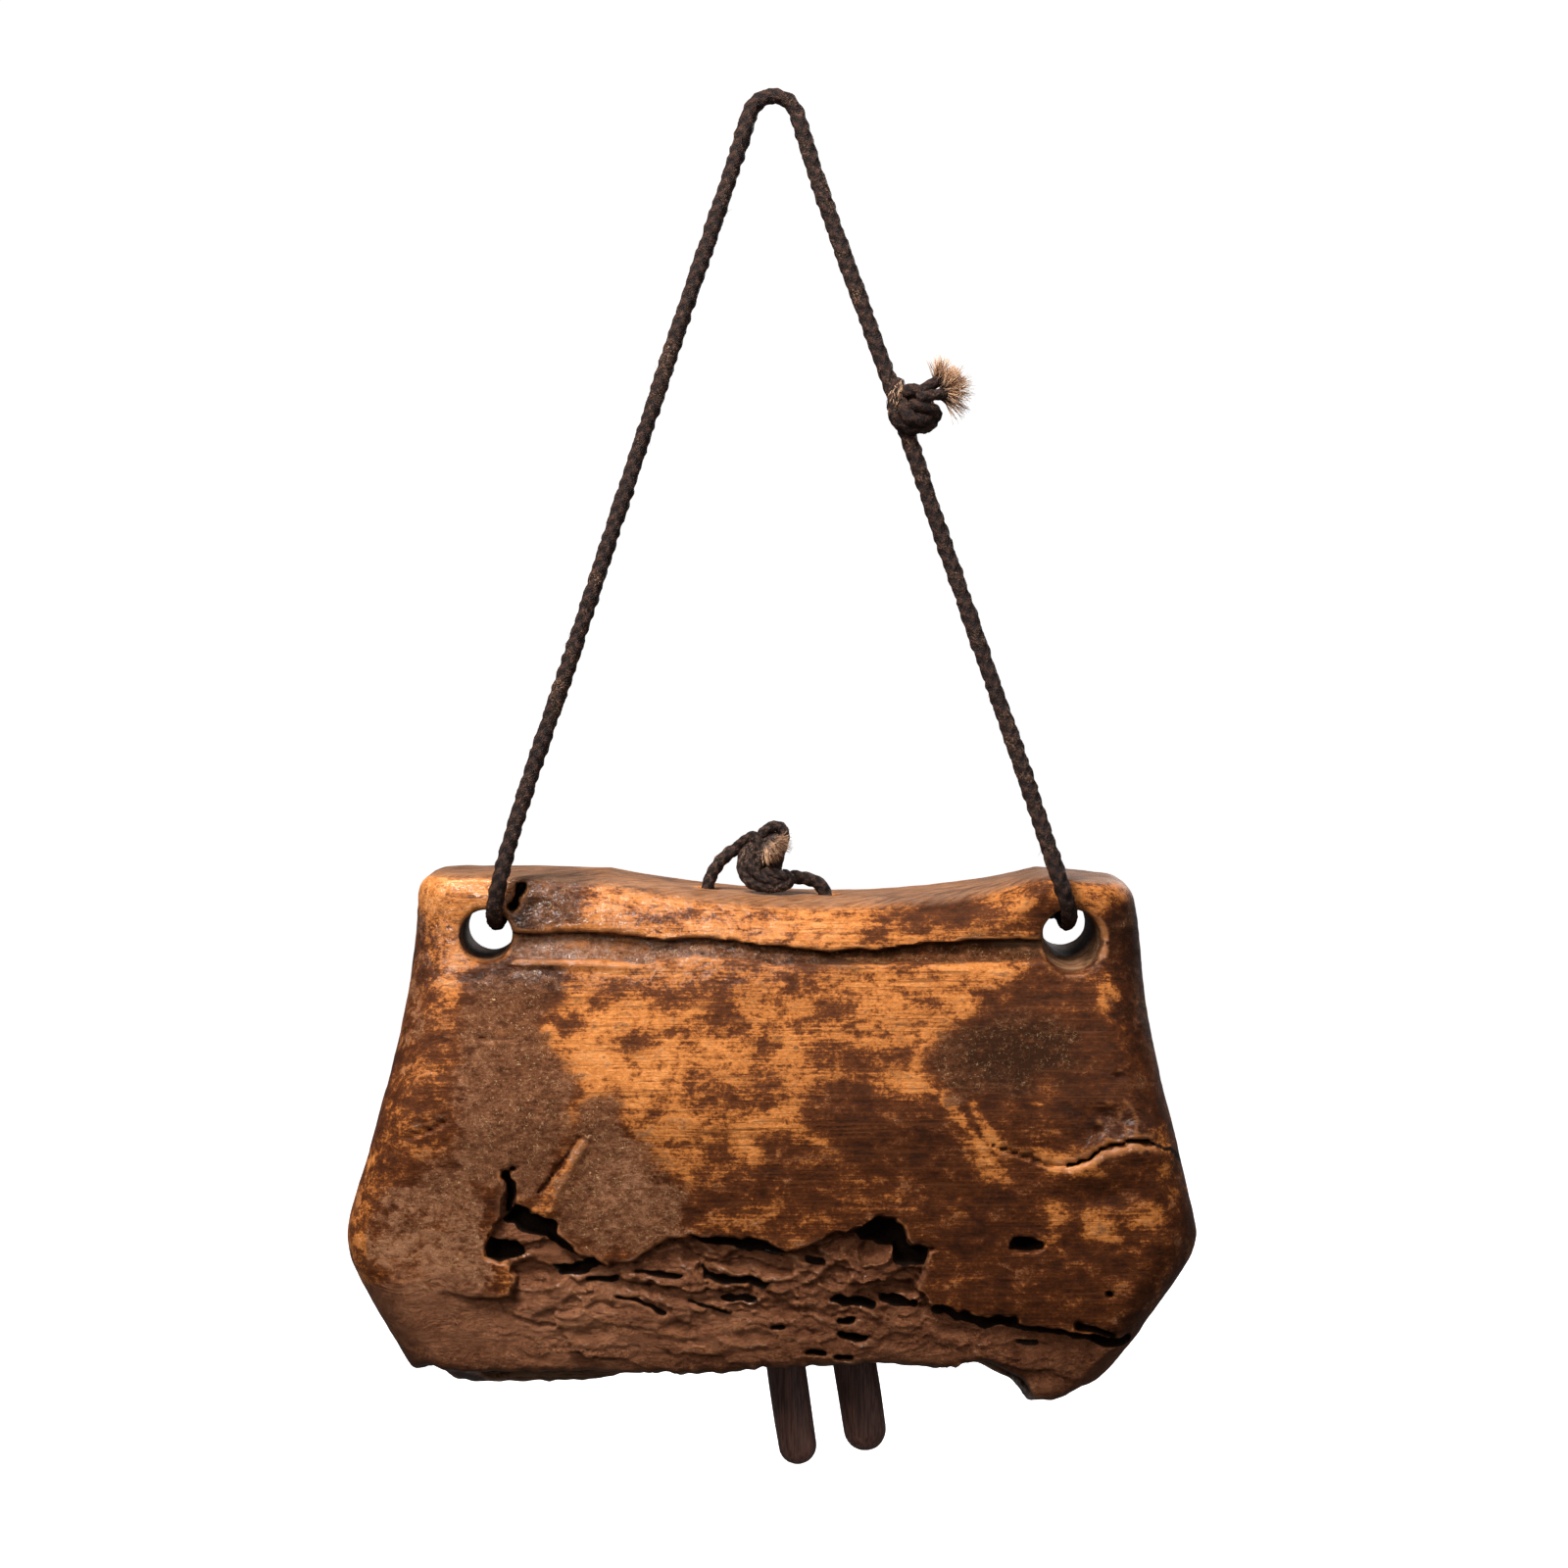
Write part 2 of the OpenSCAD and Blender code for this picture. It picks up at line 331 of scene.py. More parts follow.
TOP_KNOT_TURNS = [
    [(-13, 0, -262.2), (-9.4, -3, -258.8), (-7, -4.4, -257.9), (-5.2, -5, -260), (-4.5, -5.6, -264),
    (-5.8, -6, -268.4), (-6.6, -6, -271.8), (-4.4, -6.4, -274.6)], [(-7.8, -3, -261), (-10.5, -5, -265),
    (-10.7, -6, -269.6), (-9, -7, -273), (-5, -8, -275), (0.5, -8, -275.4), (4.6, -6.6, -274.6),
    (6, -4, -272.4), (3, -3, -271)], [(-6, -2, -262), (-4.8, -3, -258.2), (-2.4, -3.4, -255.4),
    (0.6, -3.6, -254), (3.2, -3.6, -254.9), (3.9, -4, -257.8), (3, -5, -261), (2, -5, -265),
    (0.8, -5, -270)], [(-7, -4, -260.4), (-8, -6.2, -265), (-6.8, -7.6, -269.5), (-3.6, -8.4, -272.4),
    (0.6, -8, -273.6), (4.6, -6, -273.4)], [(-4, -2, -262), (-2.2, -3, -259.6), (0.6, -3, -258),
    (2, -3, -261), (-1, -3, -265), (-3, -3, -269), (1, -2, -272)], [(-3.6, -5.6, -270.6),
    (-1, -7.4, -270.6), (2.2, -7.6, -271.2), (4.2, -6, -272.8)],
]


def curve_through(points, spacing):
    """Points spacing apart on one smooth curve through the given points."""
    p = np.asarray(points, float)
    knots = np.concatenate([[0], np.cumsum(np.linalg.norm(np.diff(p, axis=0), axis=1))])
    slopes = np.diff(p, axis=0) / np.diff(knots)[:, None]
    spans = np.diff(knots)[:, None]
    inner = (slopes[:-1] * spans[1:] + slopes[1:] * spans[:-1]) / (spans[1:] + spans[:-1])
    tangents = np.concatenate([slopes[:1], inner, slopes[-1:]])
    at = np.linspace(0, knots[-1], int(knots[-1] / spacing * 4))
    i = np.clip(np.searchsorted(knots, at, side="right") - 1, 0, len(p) - 2)
    span = spans[i]
    t = (at[:, None] - knots[i][:, None]) / span
    fine = (
        (2 * t**3 - 3 * t**2 + 1) * p[i]
        + (t**3 - 2 * t**2 + t) * span * tangents[i]
        + (3 * t**2 - 2 * t**3) * p[i + 1]
        + (t**3 - t**2) * span * tangents[i + 1]
    )
    run = np.concatenate([[0], np.cumsum(np.linalg.norm(np.diff(fine, axis=0), axis=1))])
    even = np.linspace(0, run[-1], max(int(run[-1] / spacing), 2) + 1)
    return np.stack([np.interp(even, run, fine[:, k]) for k in range(3)], axis=1)


def length_of(path):
    return np.linalg.norm(np.diff(path, axis=0), axis=1).sum()


def frames_along(path):
    """Tangents of a path, and two unit normals carried along it without twist."""
    tangents = np.gradient(path, axis=0)
    tangents /= np.linalg.norm(tangents, axis=1)[:, None]
    first = np.array([0.31, 0.83, 0.46])
    normals = []
    for t in tangents:
        first = unit(first - t * (first @ t))
        normals.append(first)
    normals = np.array(normals)
    return tangents, normals, np.cross(tangents, normals)


def tube_faces(rings, sides):
    """The walls and the two end faces of a tube whose points run ring by ring."""
    ring, side = np.meshgrid(np.arange(rings - 1), np.arange(sides), indexing="ij")
    a = (ring * sides + side).ravel()
    b = (ring * sides + (side + 1) % sides).ravel()
    walls = np.stack([a, b, b + sides, a + sides], axis=1).tolist()
    last = (rings - 1) * sides
    return walls + [list(range(sides - 1, -1, -1)), list(range(last, last + sides))]


def plaited_rope(path, radius, seed, pitch=5.0, sides=24, flat=0.05):
    """Points, faces and ridge heights of a tightly plaited cord along a path; pitch is in radii a turn."""
    _, n, m = frames_along(path)
    rings = len(path)
    run = np.linspace(0, length_of(path), rings)
    worn = 1 + flat * noise(np.stack([run, run * 0, run * 0], axis=1), 9, seed)
    around = np.linspace(0, 2 * np.pi, sides, endpoint=False)[None, :]
    turn = (2 * np.pi * run / (pitch * radius))[:, None]
    one_way, other_way = np.cos(3 * (around - turn)), np.cos(3 * (around + turn) + 0.6)
    over = 0.5 + 0.5 * np.tanh(2.5 * np.cos(3 * around))
    ridge = np.clip(0.5 + 0.5 * (over * one_way + (1 - over) * other_way), 0, 1)
    r = radius * (0.88 + 0.12 * ridge) * worn[:, None]
    points = path[:, None] + r[..., None] * (
        np.cos(around)[..., None] * n[:, None] + np.sin(around)[..., None] * m[:, None]
    )
    points = points.reshape(-1, 3)
    crust = 0.09 * noise(points, 1.7, seed + 2) + 0.06 * noise(points, 0.8, seed + 3)
    points += (radius * crust)[:, None] * unit_rows(points - np.repeat(path, sides, axis=0))
    return points, tube_faces(rings, sides), ridge.ravel()


def wound(lines, radius, seed, middle=(0, 0, 0)):
    """Short lengths of cord along several lines, as the turns of a knot."""
    paths = [curve_through(np.array(middle) + np.array(line), 0.6) for line in lines]
    return [plaited_rope(path, radius, seed=seed + i, sides=18) for i, path in enumerate(paths)]


def unit_rows(v):
    return v / np.maximum(np.linalg.norm(v, axis=1), 1e-9)[:, None]


def join(parts):
    """Several (points, faces, attribute, ...) made into one."""
    points, faces, start = [], [], 0
    others = [[] for _ in parts[0][2:]]
    for part in parts:
        points.append(part[0])
        faces += [[i + start for i in face] for face in part[1]]
        start += len(part[0])
        for kept, values in zip(others, part[2:]):
            kept.append(values)
    return (np.concatenate(points), faces, *[np.concatenate(v) for v in others])


def fibre(path, radius, tone):
    """One loose fibre: a thin three-sided tube that narrows to its tip."""
    _, n, m = frames_along(path)
    along = np.linspace(0, 1, len(path))
    r = radius * (1 - 0.75 * along)[:, None, None]
    around = np.arange(3) * 2 * np.pi / 3
    points = path[:, None] + r * (
        np.cos(around)[None, :, None] * n[:, None] + np.sin(around)[None, :, None] * m[:, None]
    )
    tones = np.full(len(path) * 3, tone)
    return points.reshape(-1, 3), tube_faces(len(path), 3), np.repeat(along, 3), tones


def tuft(root, direction, length, root_size, spread, seed, locks=26):
    """A frayed rope end: locks of fibres that fan out; root_size and spread are across and along Y."""
    rng = np.random.default_rng(seed)
    direction = unit(np.asarray(direction, float))
    side = unit(np.cross(direction, [0, 1, 0]))
    deep = np.cross(direction, side)
    made = []
    for _ in range(locks):
        a, b = rng.uniform(-1, 1, 2)
        root_at = root + root_size[0] * a * side + root_size[1] * b * deep
        lean = unit(direction + side * a * spread[0] + deep * b * spread[1])
        curl, reach, tone = rng.normal(0, 0.5, 3), length * rng.uniform(0.6, 1.0), rng.uniform(0, 0.7)
        for _ in range(11):
            start = root_at + rng.normal(0, 0.35, 3)
            path, heading = [start - 1.5 * direction], unit(direction + 0.5 * lean)
            own = rng.normal(0, 0.3, 3)
            for _ in range(6):
                heading = unit(heading * 0.55 + lean * 0.45 + (curl + own) * 0.35 + rng.normal(0, 0.14, 3))
                path.append(path[-1] + heading * reach * rng.uniform(0.9, 1.05) / 6)
            made.append(fibre(np.array(path), rng.uniform(0.15, 0.30), tone + rng.uniform(0, 0.3)))
    return join(made)


def clinging_fibres(path, radius, count, seed, reach=(2, 4.5), toward=(0, -1, 0)):
    """Straw-coloured fibres that lie along a strand, on the side that faces a given way."""
    rng = np.random.default_rng(seed)
    tangents, n, m = frames_along(path)
    made = []
    for _ in range(count):
        i = rng.integers(2, len(path) - 2)
        angle = rng.uniform(0, 2 * np.pi)
        out = unit(n[i] * math.cos(angle) + m[i] * math.sin(angle) + 0.9 * np.asarray(toward, float))
        lean = unit(tangents[i] * rng.choice([-1, 1]) + np.cross(tangents[i], out) * rng.normal(0, 0.35))
        long = rng.uniform(*reach)
        start = path[i] + out * radius * 0.98
        line = [start + lean * long * k / 4 - out * 0.12 * (k - 2) ** 2 for k in range(5)]
        made.append(fibre(np.array(line), rng.uniform(0.12, 0.22), rng.uniform(0.1, 1)))
    return join(made)


def stray_fibres(path, radius, count, seed):
    """Short hairs that stand off a rope."""
    rng = np.random.default_rng(seed)
    tangents, n, m = frames_along(path)
    made = []
    for _ in range(count):
        i = rng.integers(3, len(path) - 3)
        angle = rng.uniform(0, 2 * np.pi)
        out = n[i] * math.cos(angle) + m[i] * math.sin(angle)
        across = np.cross(tangents[i], out)
        way = rng.choice([-1, 1])
        start = path[i] + out * radius * 0.75
        lean = tangents[i] * way * rng.uniform(0.6, 1.6) + out * rng.uniform(0.25, 0.6)
        lean = unit(lean + across * rng.normal(0, 0.5))
        reach = rng.uniform(1.5, 3.6)
        line = [start + lean * reach * k / 3 + out * (k / 3) ** 2 * rng.normal(0.1, 0.25) for k in range(4)]
        made.append(fibre(np.array(line), rng.uniform(0.07, 0.13), rng.uniform(0, 1)))
    return join(made)


rope_brown = rope_material(
    "carrying_rope", dark=(0.007, 0.003, 0.002), light=(0.052, 0.022, 0.013), dust=(0.21, 0.11, 0.06)
)
cord_brown = rope_material(
    "clapper_cord", dark=(0.008, 0.004, 0.003), light=(0.072, 0.036, 0.024), dust=(0.30, 0.18, 0.12)
)
straw = fibre_material()


def make_carrying_rope():
    route = [KNOT_ON_LEG, RIGHT_LEG_TOP] + BIGHT[::-1] + LOOP + [KNOT_ON_LEG]
    path = curve_through(route, 0.8)
    points, faces, ridge = plaited_rope(path, ROPE_RADIUS, seed=11)
    rope = make_object("carrying_rope_strands", points, faces, rope_brown, ridge=ridge)
    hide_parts("carrying_rope", "carrying_rope_bight")
    hairs = stray_fibres(path, ROPE_RADIUS, 260, seed=31)
    fuzz = make_object("carrying_rope_hairs", hairs[0], hairs[1], rope_brown, ridge=hairs[2] * 0.6 + 0.3)
    for piece in (rope, fuzz):
        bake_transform(piece)

    middle = np.array([48.9, -15, -107.6])
    turns = wound(LEG_KNOT_TURNS, 2.65, 41, middle) + wound(LEG_KNOT_TAILS, 2.2, 51, middle)
    points, faces, ridge = join(turns)
    knot = make_object("carrying_rope_windings", points, faces, rope_brown, ridge=ridge)
    place(knot, "bell", "dark_rope", "carrying_rope_knot")
    fans = [
        tuft(middle + np.array([10, -3.4, 10.3]), (0.52, 0, 0.85), 10.0, (2.3, 1.8), (0.7, 0.5), 61),
        tuft(middle + np.array([11.2, -5, 6.4]), (0.97, 0, 0.02), 12.5, (2.4, 1.8), (0.65, 0.5), 62),
        clinging_fibres(curve_through(middle + np.array(LEG_KNOT_TURNS[0][:4]), 0.6), 2.65, 60, 63),
    ]
    points, faces, tip, tone = join(fans)
    ends = make_object("carrying_rope_tuft", points, faces, straw, tip=tip, tone=tone)
    place(ends, "bell", "frayed_fibre", "carrying_rope_frayed_ends")
    return path


def make_clapper_cord():
    path = curve_through(CLAPPER_CORD, 0.7)
    points, faces, ridge = plaited_rope(path, CORD_RADIUS, seed=61)
    cord = make_object("clapper_cord_strands", points, faces, cord_brown, ridge=ridge)
    place(cord, "bell", "dark_cord", "clapper_cord")
    points, faces, ridge = join(wound(TOP_KNOT_TURNS, 2.1, 73))
    knot = make_object("clapper_cord_windings", points, faces, cord_brown, ridge=ridge)
    place(knot, "bell", "dark_cord", "clapper_cord_knot")
    root = np.array([-0.6, -7.0, -260.2])
    points, faces, tip, tone = tuft(root, (0.66, -0.20, -0.66), 9.2, (2.4, 1.4), (0.5, 0.4), 81)
    end = make_object("clapper_cord_tuft", points, faces, straw, tip=tip, tone=tone)
    place(end, "bell", "frayed_fibre", "clapper_cord_frayed_end")


make_carrying_rope()
make_clapper_cord()


# ---------------------------------------------------------------- solids from distance fields


def surface_of(field, axes):
    """Points and quads on the surface where a grid of distances, at places given by axes, crosses zero."""
    inside = field < 0
    near = np.zeros([n - 1 for n in field.shape], np.uint8)
    for i, j, k in np.ndindex(2, 2, 2):
        near += inside[i : i + near.shape[0], j : j + near.shape[1], k : k + near.shape[2]]
    active = (near > 0) & (near < 8)
    cells = np.argwhere(active)
    index = np.full(active.shape, -1, np.int64)
    index[active] = np.arange(len(cells))

    total = np.zeros((len(cells), 3))
    hits = np.zeros(len(cells))
    for axis in range(3):
        others = [k for k in range(3) if k != axis]
        for offset in np.ndindex(2, 2):
            a = cells.copy()
            a[:, others] += offset
            b = a.copy()
            b[:, axis] += 1
            fa, fb = field[tuple(a.T)], field[tuple(b.T)]
            cross = (fa < 0) != (fb < 0)
            share = fa[cross] / (fa[cross] - fb[cross])
            point = a[cross].astype(float)
            point[:, axis] += share
            total[cross] += point
            hits[cross] += 1
    grid_points = total / hits[:, None]
    points = [np.interp(grid_points[:, k], np.arange(len(axes[k])), axes[k]) for k in range(3)]

    quads = []
    for axis in range(3):
        u, v = (axis + 1) % 3, (axis + 2) % 3
        low = [slice(None)] * 3
        high = [slice(None)] * 3
        low[axis], high[axis] = slice(None, -1), slice(1, None)
        a, b = inside[tuple(low)], inside[tuple(high)]
        edges = np.argwhere(a != b)
        leaves = a[tuple(edges.T)]
        around = []
        for du, dv in ((-1, -1), (0, -1), (0, 0), (-1, 0)):
            cell = edges.copy()
            cell[:, u] += du
            cell[:, v] += dv
            around.append(index[tuple(cell.T)])
        around = np.stack(around, axis=1)
        quads.append(np.where(leaves[:, None], around, around[:, ::-1]))
    return np.stack(points, axis=1), np.concatenate(quads)


def grid(low, high, spacing):
    """The coordinates along each axis of a grid, and the same shaped to spread over it."""
    axes = [np.arange(a, b + spacing, spacing) for a, b in zip(low, high)]
    x, y, z = axes
    return axes, x[:, None, None], y[None, :, None], z[None, None, :]


def capsule(x, y, z, a, b, radius):
    """Distance to a round-ended rod from a to b."""
    a, b = np.asarray(a, float), np.asarray(b, float)
    ab = b - a
    x, y, z = x - a[0], y - a[1], z - a[2]
    t = np.clip((x * ab[0] + y * ab[1] + z * ab[2]) / (ab @ ab), 0, 1)
    return np.sqrt((x - t * ab[0]) ** 2 + (y - t * ab[1]) ** 2 + (z - t * ab[2]) ** 2) - radius


# ---------------------------------------------------------------- the bell's shape

# Distance from the middle to the left side, the right side and the front, at each height, from the rim up
LEFT_SIDE = [
    (-460, 117), (-452, 124), (-441, 131), (-428, 138.5), (-414, 146.3), (-406, 150), (-398, 151.4),
    (-392, 150.4), (-379, 146.4), (-361, 141.3), (-344, 136.8), (-326, 132.2), (-309, 129.3), (-290, 127.3),
    (-266, 126),
]
RIGHT_SIDE = [
    (-460, 99), (-456, 106), (-452, 113), (-446, 120), (-435, 128.3), (-424, 136), (-414, 142.7),
    (-405, 148.4), (-398, 150.4), (-391, 149.3), (-379, 146.3), (-361, 142), (-344, 137.8), (-326, 134),
    (-309, 131.7), (-290, 130), (-266, 127.5),
]
# Both sides are drawn a little large, and are shrunk about the camera's level
LEVEL = -239
SHRINK = 0.985
LEFT_SIDE, RIGHT_SIDE = (
    [(LEVEL + (z - LEVEL) * SHRINK, width * SHRINK) for z, width in side]
    for side in (LEFT_SIDE, RIGHT_SIDE)
)
DEPTH = [
    (-460, 43.4), (-450, 45.5), (-435, 47.8), (-415, 49.3), (-385, 49.6), (-354, 49), (-344, 47.4),
    (-330, 43.6), (-314, 38.6), (-304, 35.4), (-298, 33.8), (-290, 32.6), (-266, 32),
]
TOP = -270.0
RIM = -458.0
ROOF = -316.0
WALL = 12.0
END_WALL = 14.5
PLAN_CORNER = 17.0
BULGE = 2.2


def read(table, at):
    """A table of pairs read at each place, along straight lines."""
    return np.interp(at, *np.array(table, float).T)


def profile(table, z, softness=1.6):
    """A table of (height, size) read at each z, with its corners softened."""
    fine = np.arange(-480, -240, 0.5)
    kernel = np.exp(-0.5 * (np.arange(-12, 13) * 0.5 / softness) ** 2)
    soft = np.convolve(np.pad(read(table, fine), 12, mode="edge"), kernel / kernel.sum(), mode="valid")
    return np.interp(z, fine, soft)


def sizes(z):
    """Distance to the left side, the right side and the front at each height."""
    return profile(LEFT_SIDE, z), profile(RIGHT_SIDE, z), profile(DEPTH, z)


def rounded_plan(x, y, left, right, deep, corner):
    """Distance to a rectangle with rounded corners, its front and back slightly bowed."""
    qx = np.abs(x - (right - left) / 2) - ((left + right) / 2 - corner)
    qy = np.abs(y) - (deep - corner) + BULGE * (x / 150) ** 2
    outer = np.sqrt(np.maximum(qx, 0) ** 2 + np.maximum(qy, 0) ** 2)
    return outer + np.minimum(np.maximum(qx, qy), 0) - corner


def rubbed_down(x):
    """1 in the saddle between the lugs, where the top edge is rounded by handling, and 0 at the lugs."""
    return step(x, -86, -60) * (1 - step(x, 74, 98))


def top_height(x, y):
    """The top face: level lugs, a shallow saddle between them, and a front edge that is rubbed down."""
    saddle = np.maximum(7.9 - (374 - np.sqrt(374.0**2 - (x - 18) ** 2)), 0)
    droop = 5.5 * rubbed_down(x) * np.clip((-y - 2) / 28, 0, 1.3) ** 2
    return TOP - saddle - 0.085 * np.maximum(x - 94, 0) - droop


def bell_block(x, y, z):
    """The whole block before it is hollowed."""
    left, right, depth = sizes(z)
    plan = rounded_plan(x, y, left, right, depth, PLAN_CORNER)
    body = smooth_max(plan, z - top_height(x, y), 8.5 + 5 * rubbed_down(x))
    return smooth_max(body, RIM - 3.5 - z, 6)


def bell_hollow(x, y, z):
    """The space inside: negative where it is empty."""
    left, right, depth = sizes(z)
    deep = depth - WALL - 4 * step(z, -345, -316)
    plan = rounded_plan(x, y, left - END_WALL, right - END_WALL, deep, 9)
    return smooth_max(plan, z - ROOF, 14)


# ---------------------------------------------------------------- wear on its front, in the plane (x, z)

# Outline of the crumbled lower part: its upper edge from left to right, closed below the rim
CRUMBLED = [
    (-150, -416), (-128, -411), (-108, -413), (-92, -414), (-89, -408), (-92, -402.5), (-98.5, -399),
    (-98.8, -395.5), (-95, -388), (-94.5, -380), (-92.7, -371), (-89.5, -374), (-88.4, -381.8),
    (-80.8, -386.1), (-76.1, -387.5), (-74.2, -392.8), (-66.6, -399), (-60.9, -400), (-57.1, -403.8),
    (-51, -401.5), (-44, -399), (-36, -394), (-27, -392.6), (-14, -393.8), (-2, -394.8), (4.5, -399),
    (9, -397), (18.7, -393.3), (30, -391), (36, -388), (41.3, -388), (46.7, -393.8), (53.9, -399.2),
    (53, -404), (51, -412), (55.6, -418.3), (61, -420.6), (73.8, -423.4), (82.7, -424), (100.8, -427.3),
    (109.8, -429.2), (128, -428.5), (128, -470), (-150, -470),
]
# Depth of the step along that edge, and strength of the chips below it, by x
EDGE_STEP = [
    (-110, 0.4), (-100, 2), (-92, 4), (-66, 4), (-56, 1.6), (-36, 2), (-24, 4), (4, 4), (10, 2.4), (34, 4),
    (54, 3), (128, 2.4),
]
CHIPPING = [
    (-150, 0.2), (-110, 0.3), (-88, 0.75), (-60, 1), (52, 1), (74, 0.8), (128, 0.6),
]
# Deep places with an outline of their own: outline and depth; their depths are painted near-black as shade
HOLLOWS = [
    ([(-92.2, -387.5), (-87.5, -383.5), (-80.8, -386), (-76, -388.5), (-75, -393), (-67.6, -399),
    (-72.3, -398), (-78.9, -393.2), (-86.5, -391.4)], 9), ([(-98.8, -397), (-96.9, -394), (-87.5, -396),
    (-86.5, -400), (-92.2, -402), (-97.9, -399.5)], 9), ([(-76, -402.9), (-64.7, -402.5), (-60.9, -399.8),
    (-60.2, -403), (-66.6, -406.2), (-74.2, -406.2)], 7), ([(-27.7, -393), (-9.7, -394.4), (-2.2, -395),
    (5, -399.4), (-1.2, -398.8), (-9.7, -397.6), (-23, -396)], 7), ([(-23, -403.8), (-19.2, -407),
    (-2.2, -409.2), (-4, -411), (-16.5, -409.8), (-23, -408.8)], 6), ([(30, -392.9), (36, -387.8),
    (41.3, -387.6), (45.3, -392.5), (46.7, -396.6), (54.2, -398.4), (52.5, -402.4), (46.7, -403.6),
    (42, -401), (41, -395.8), (34, -396)], 9),
]
# Slots, holes, cracks and scratches: line, half width and depth; the deepest parts are painted near-black as
# shade
SLOTS = [
    ([(-92.5, -372), (-91, -378), (-91.5, -384)], 2.1, 6), ([(-63.9, -408.1), (-54.4, -408.3)], 1.5, 5),
    ([(-47.7, -405.7), (-32.5, -407.6)], 1.4, 4), ([(-53.4, -414.3), (-45, -416.5), (-37.2, -420.5)],
    1.2, 3.5), ([(-17.3, -414.7), (-6.9, -415.2)], 1.5, 5), ([(-28.7, -416.2), (-15.4, -420.5)], 1.1, 3),
    ([(12, -400.9), (16, -401.5)], 1.8, 5), ([(21.5, -415.2), (33.9, -417.6)], 1.8, 7), ([(24, -423.4),
    (28.2, -423.4)], 1.5, 7), ([(24, -428.4), (32, -428.8)], 1.5, 7), ([(12, -434), (18, -434.4)], 1.1, 5),
    ([(22.5, -435.5), (26.8, -436)], 1.1, 5), ([(0, -425.3), (3.5, -425.3)], 1.1, 4), ([(38, -414.7),
    (48.5, -417.8)], 1.9, 7), ([(57, -419), (61, -420.6), (72, -423.4)], 1.7, 6), ([(73.8, -423.6),
    (82.7, -424.4)], 2.2, 7), ([(84, -425.2), (100.8, -427.5), (110, -429.5)], 1.1, 4.5), ([(111, -430.5),
    (123, -430.2)], 2.2, 8), ([(106, -425), (118, -428.5)], 1.2, 5), ([(84.6, -430.4), (90.9, -430.8)],
    1.1, 4), ([(84, -396), (90, -396)], 2.7, 9), ([(116, -413.7), (116.3, -413.8)], 1.4, 4), ([(76, -362),
    (88, -366), (95, -368.4), (102, -369)], 0.7, 1.5), ([(102, -369), (108, -367.2), (115, -363),
    (124, -360.7), (131, -361.3), (137, -363.6), (142, -368)], 1.3, 4), ([(-130, -328), (-112, -326),
    (-90, -325.3)], 0.7, 0.8), ([(-139, -368.5), (-131.3, -361), (-118.4, -356.3), (-113, -353.5)], 0.9, 1),
    ([(-128, -334), (-115, -336.8)], 0.9, 1), ([(-66.5, -359), (-73, -368), (-80.5, -378)], 0.9, 1.4),
    ([(118, -338), (130, -338.6), (140, -340)], 0.8, 1.2), ([(-24, -274.4), (-16, -276.6), (-9, -277.6)],
    # the slot from (-88.5, -273) to (-91, -281) on the next line, beside the left rope, is painted dark as the
    # rope's shadow
    1.9, 16), ([(-88.5, -273), (-91, -281)], 1.6, 6), ([(17, -276.4), (27, -275.6), (37, -275.8)], 1.5, 16),
]
# Shell-shaped scoops with a lip round their lower side: middle, half sizes, tilt and depth
SCOOPS = [
    (-5.3, -402.9, 12.8, 5, -0.06, 3.6), (-27.4, -401, 4.6, 3.4, 0.2, 2.4),
    (-22, -406.8, 4.6, 2.6, -0.3, 2.2), (36, -398.2, 5.6, 4.6, 0.3, 4.5), (22, -407, 6, 4.4, 0.2, 2.4),
    (43.2, -412.6, 8, 3.6, 0, 2.8), (-82.6, -407, 10, 4.6, 0, 2.2), (-45, -411.5, 10, 3.2, -0.15, 1.8),
    (-13, -413.5, 8, 2.4, -0.1, 2), (-12, -418.2, 6, 2.2, 0.1, 1.6), (12, -398.8, 4.6, 3.2, 0, 1.8),
    (-70.7, -418, 4.6, 4, 0.2, 1.6), (-91, -418, 4, 3, 0, 1.3), (-78.4, -422.5, 5.5, 3.6, 0.2, 1.3),
    (-58.8, -418.5, 6, 2.8, -0.1, 1.6), (1, -418.6, 9, 3.6, -0.1, 1.6), (24, -420.5, 10, 3, -0.05, 1.4),
    (44, -421, 8, 3.4, -0.1, 1.4), (-34, -425.5, 7, 2.6, -0.2, 1.2), (-8, -428.5, 10, 2.6, 0, 1.1),
    (-62, -428, 9, 3, 0.1, 1), (66, -428, 9, 3, -0.2, 1.5), (88, -433, 9, 3, -0.1, 1.2),
    (44, -430.5, 8, 2.6, 0.1, 1.2), (14, -427.5, 6, 2.2, 0, 1.2),
]
# Lower edge of the front, and the two edges of the groove between the lugs
FRONT_EDGE = [
    (-150, -446), (-131, -440), (-121, -438.5), (-108, -440.5), (-90, -441), (-62, -440.5), (-40, -441.5),
    (-12, -440.5), (-4, -439), (10, -439.5), (30, -438), (37, -437.2), (50, -438.3), (63.5, -439.2),
    (65.6, -437), (70, -436.5), (77.3, -438), (82.7, -440.6), (87.3, -443.8), (89.4, -446.4),
    (90.5, -449.7), (95.4, -450.8), (101.7, -449.6), (108, -446), (150, -446),
]
GROOVE_TOP = [
    (-92, -289.5), (-81, -289.7), (-68, -289.2), (-50, -290.6), (-38, -292), (-23, -291.6), (4, -294.7),
    (18, -296.2), (36, -295.5), (50, -294), (70, -292.6), (96, -292),
]
GROOVE_FOOT = [
    (-92, -299.3), (-60, -300), (-45, -301), (-27, -297.8), (-12, -299.5), (2, -301.3), (30, -300.5),
    (60, -300.8), (84, -300), (96, -299),
]


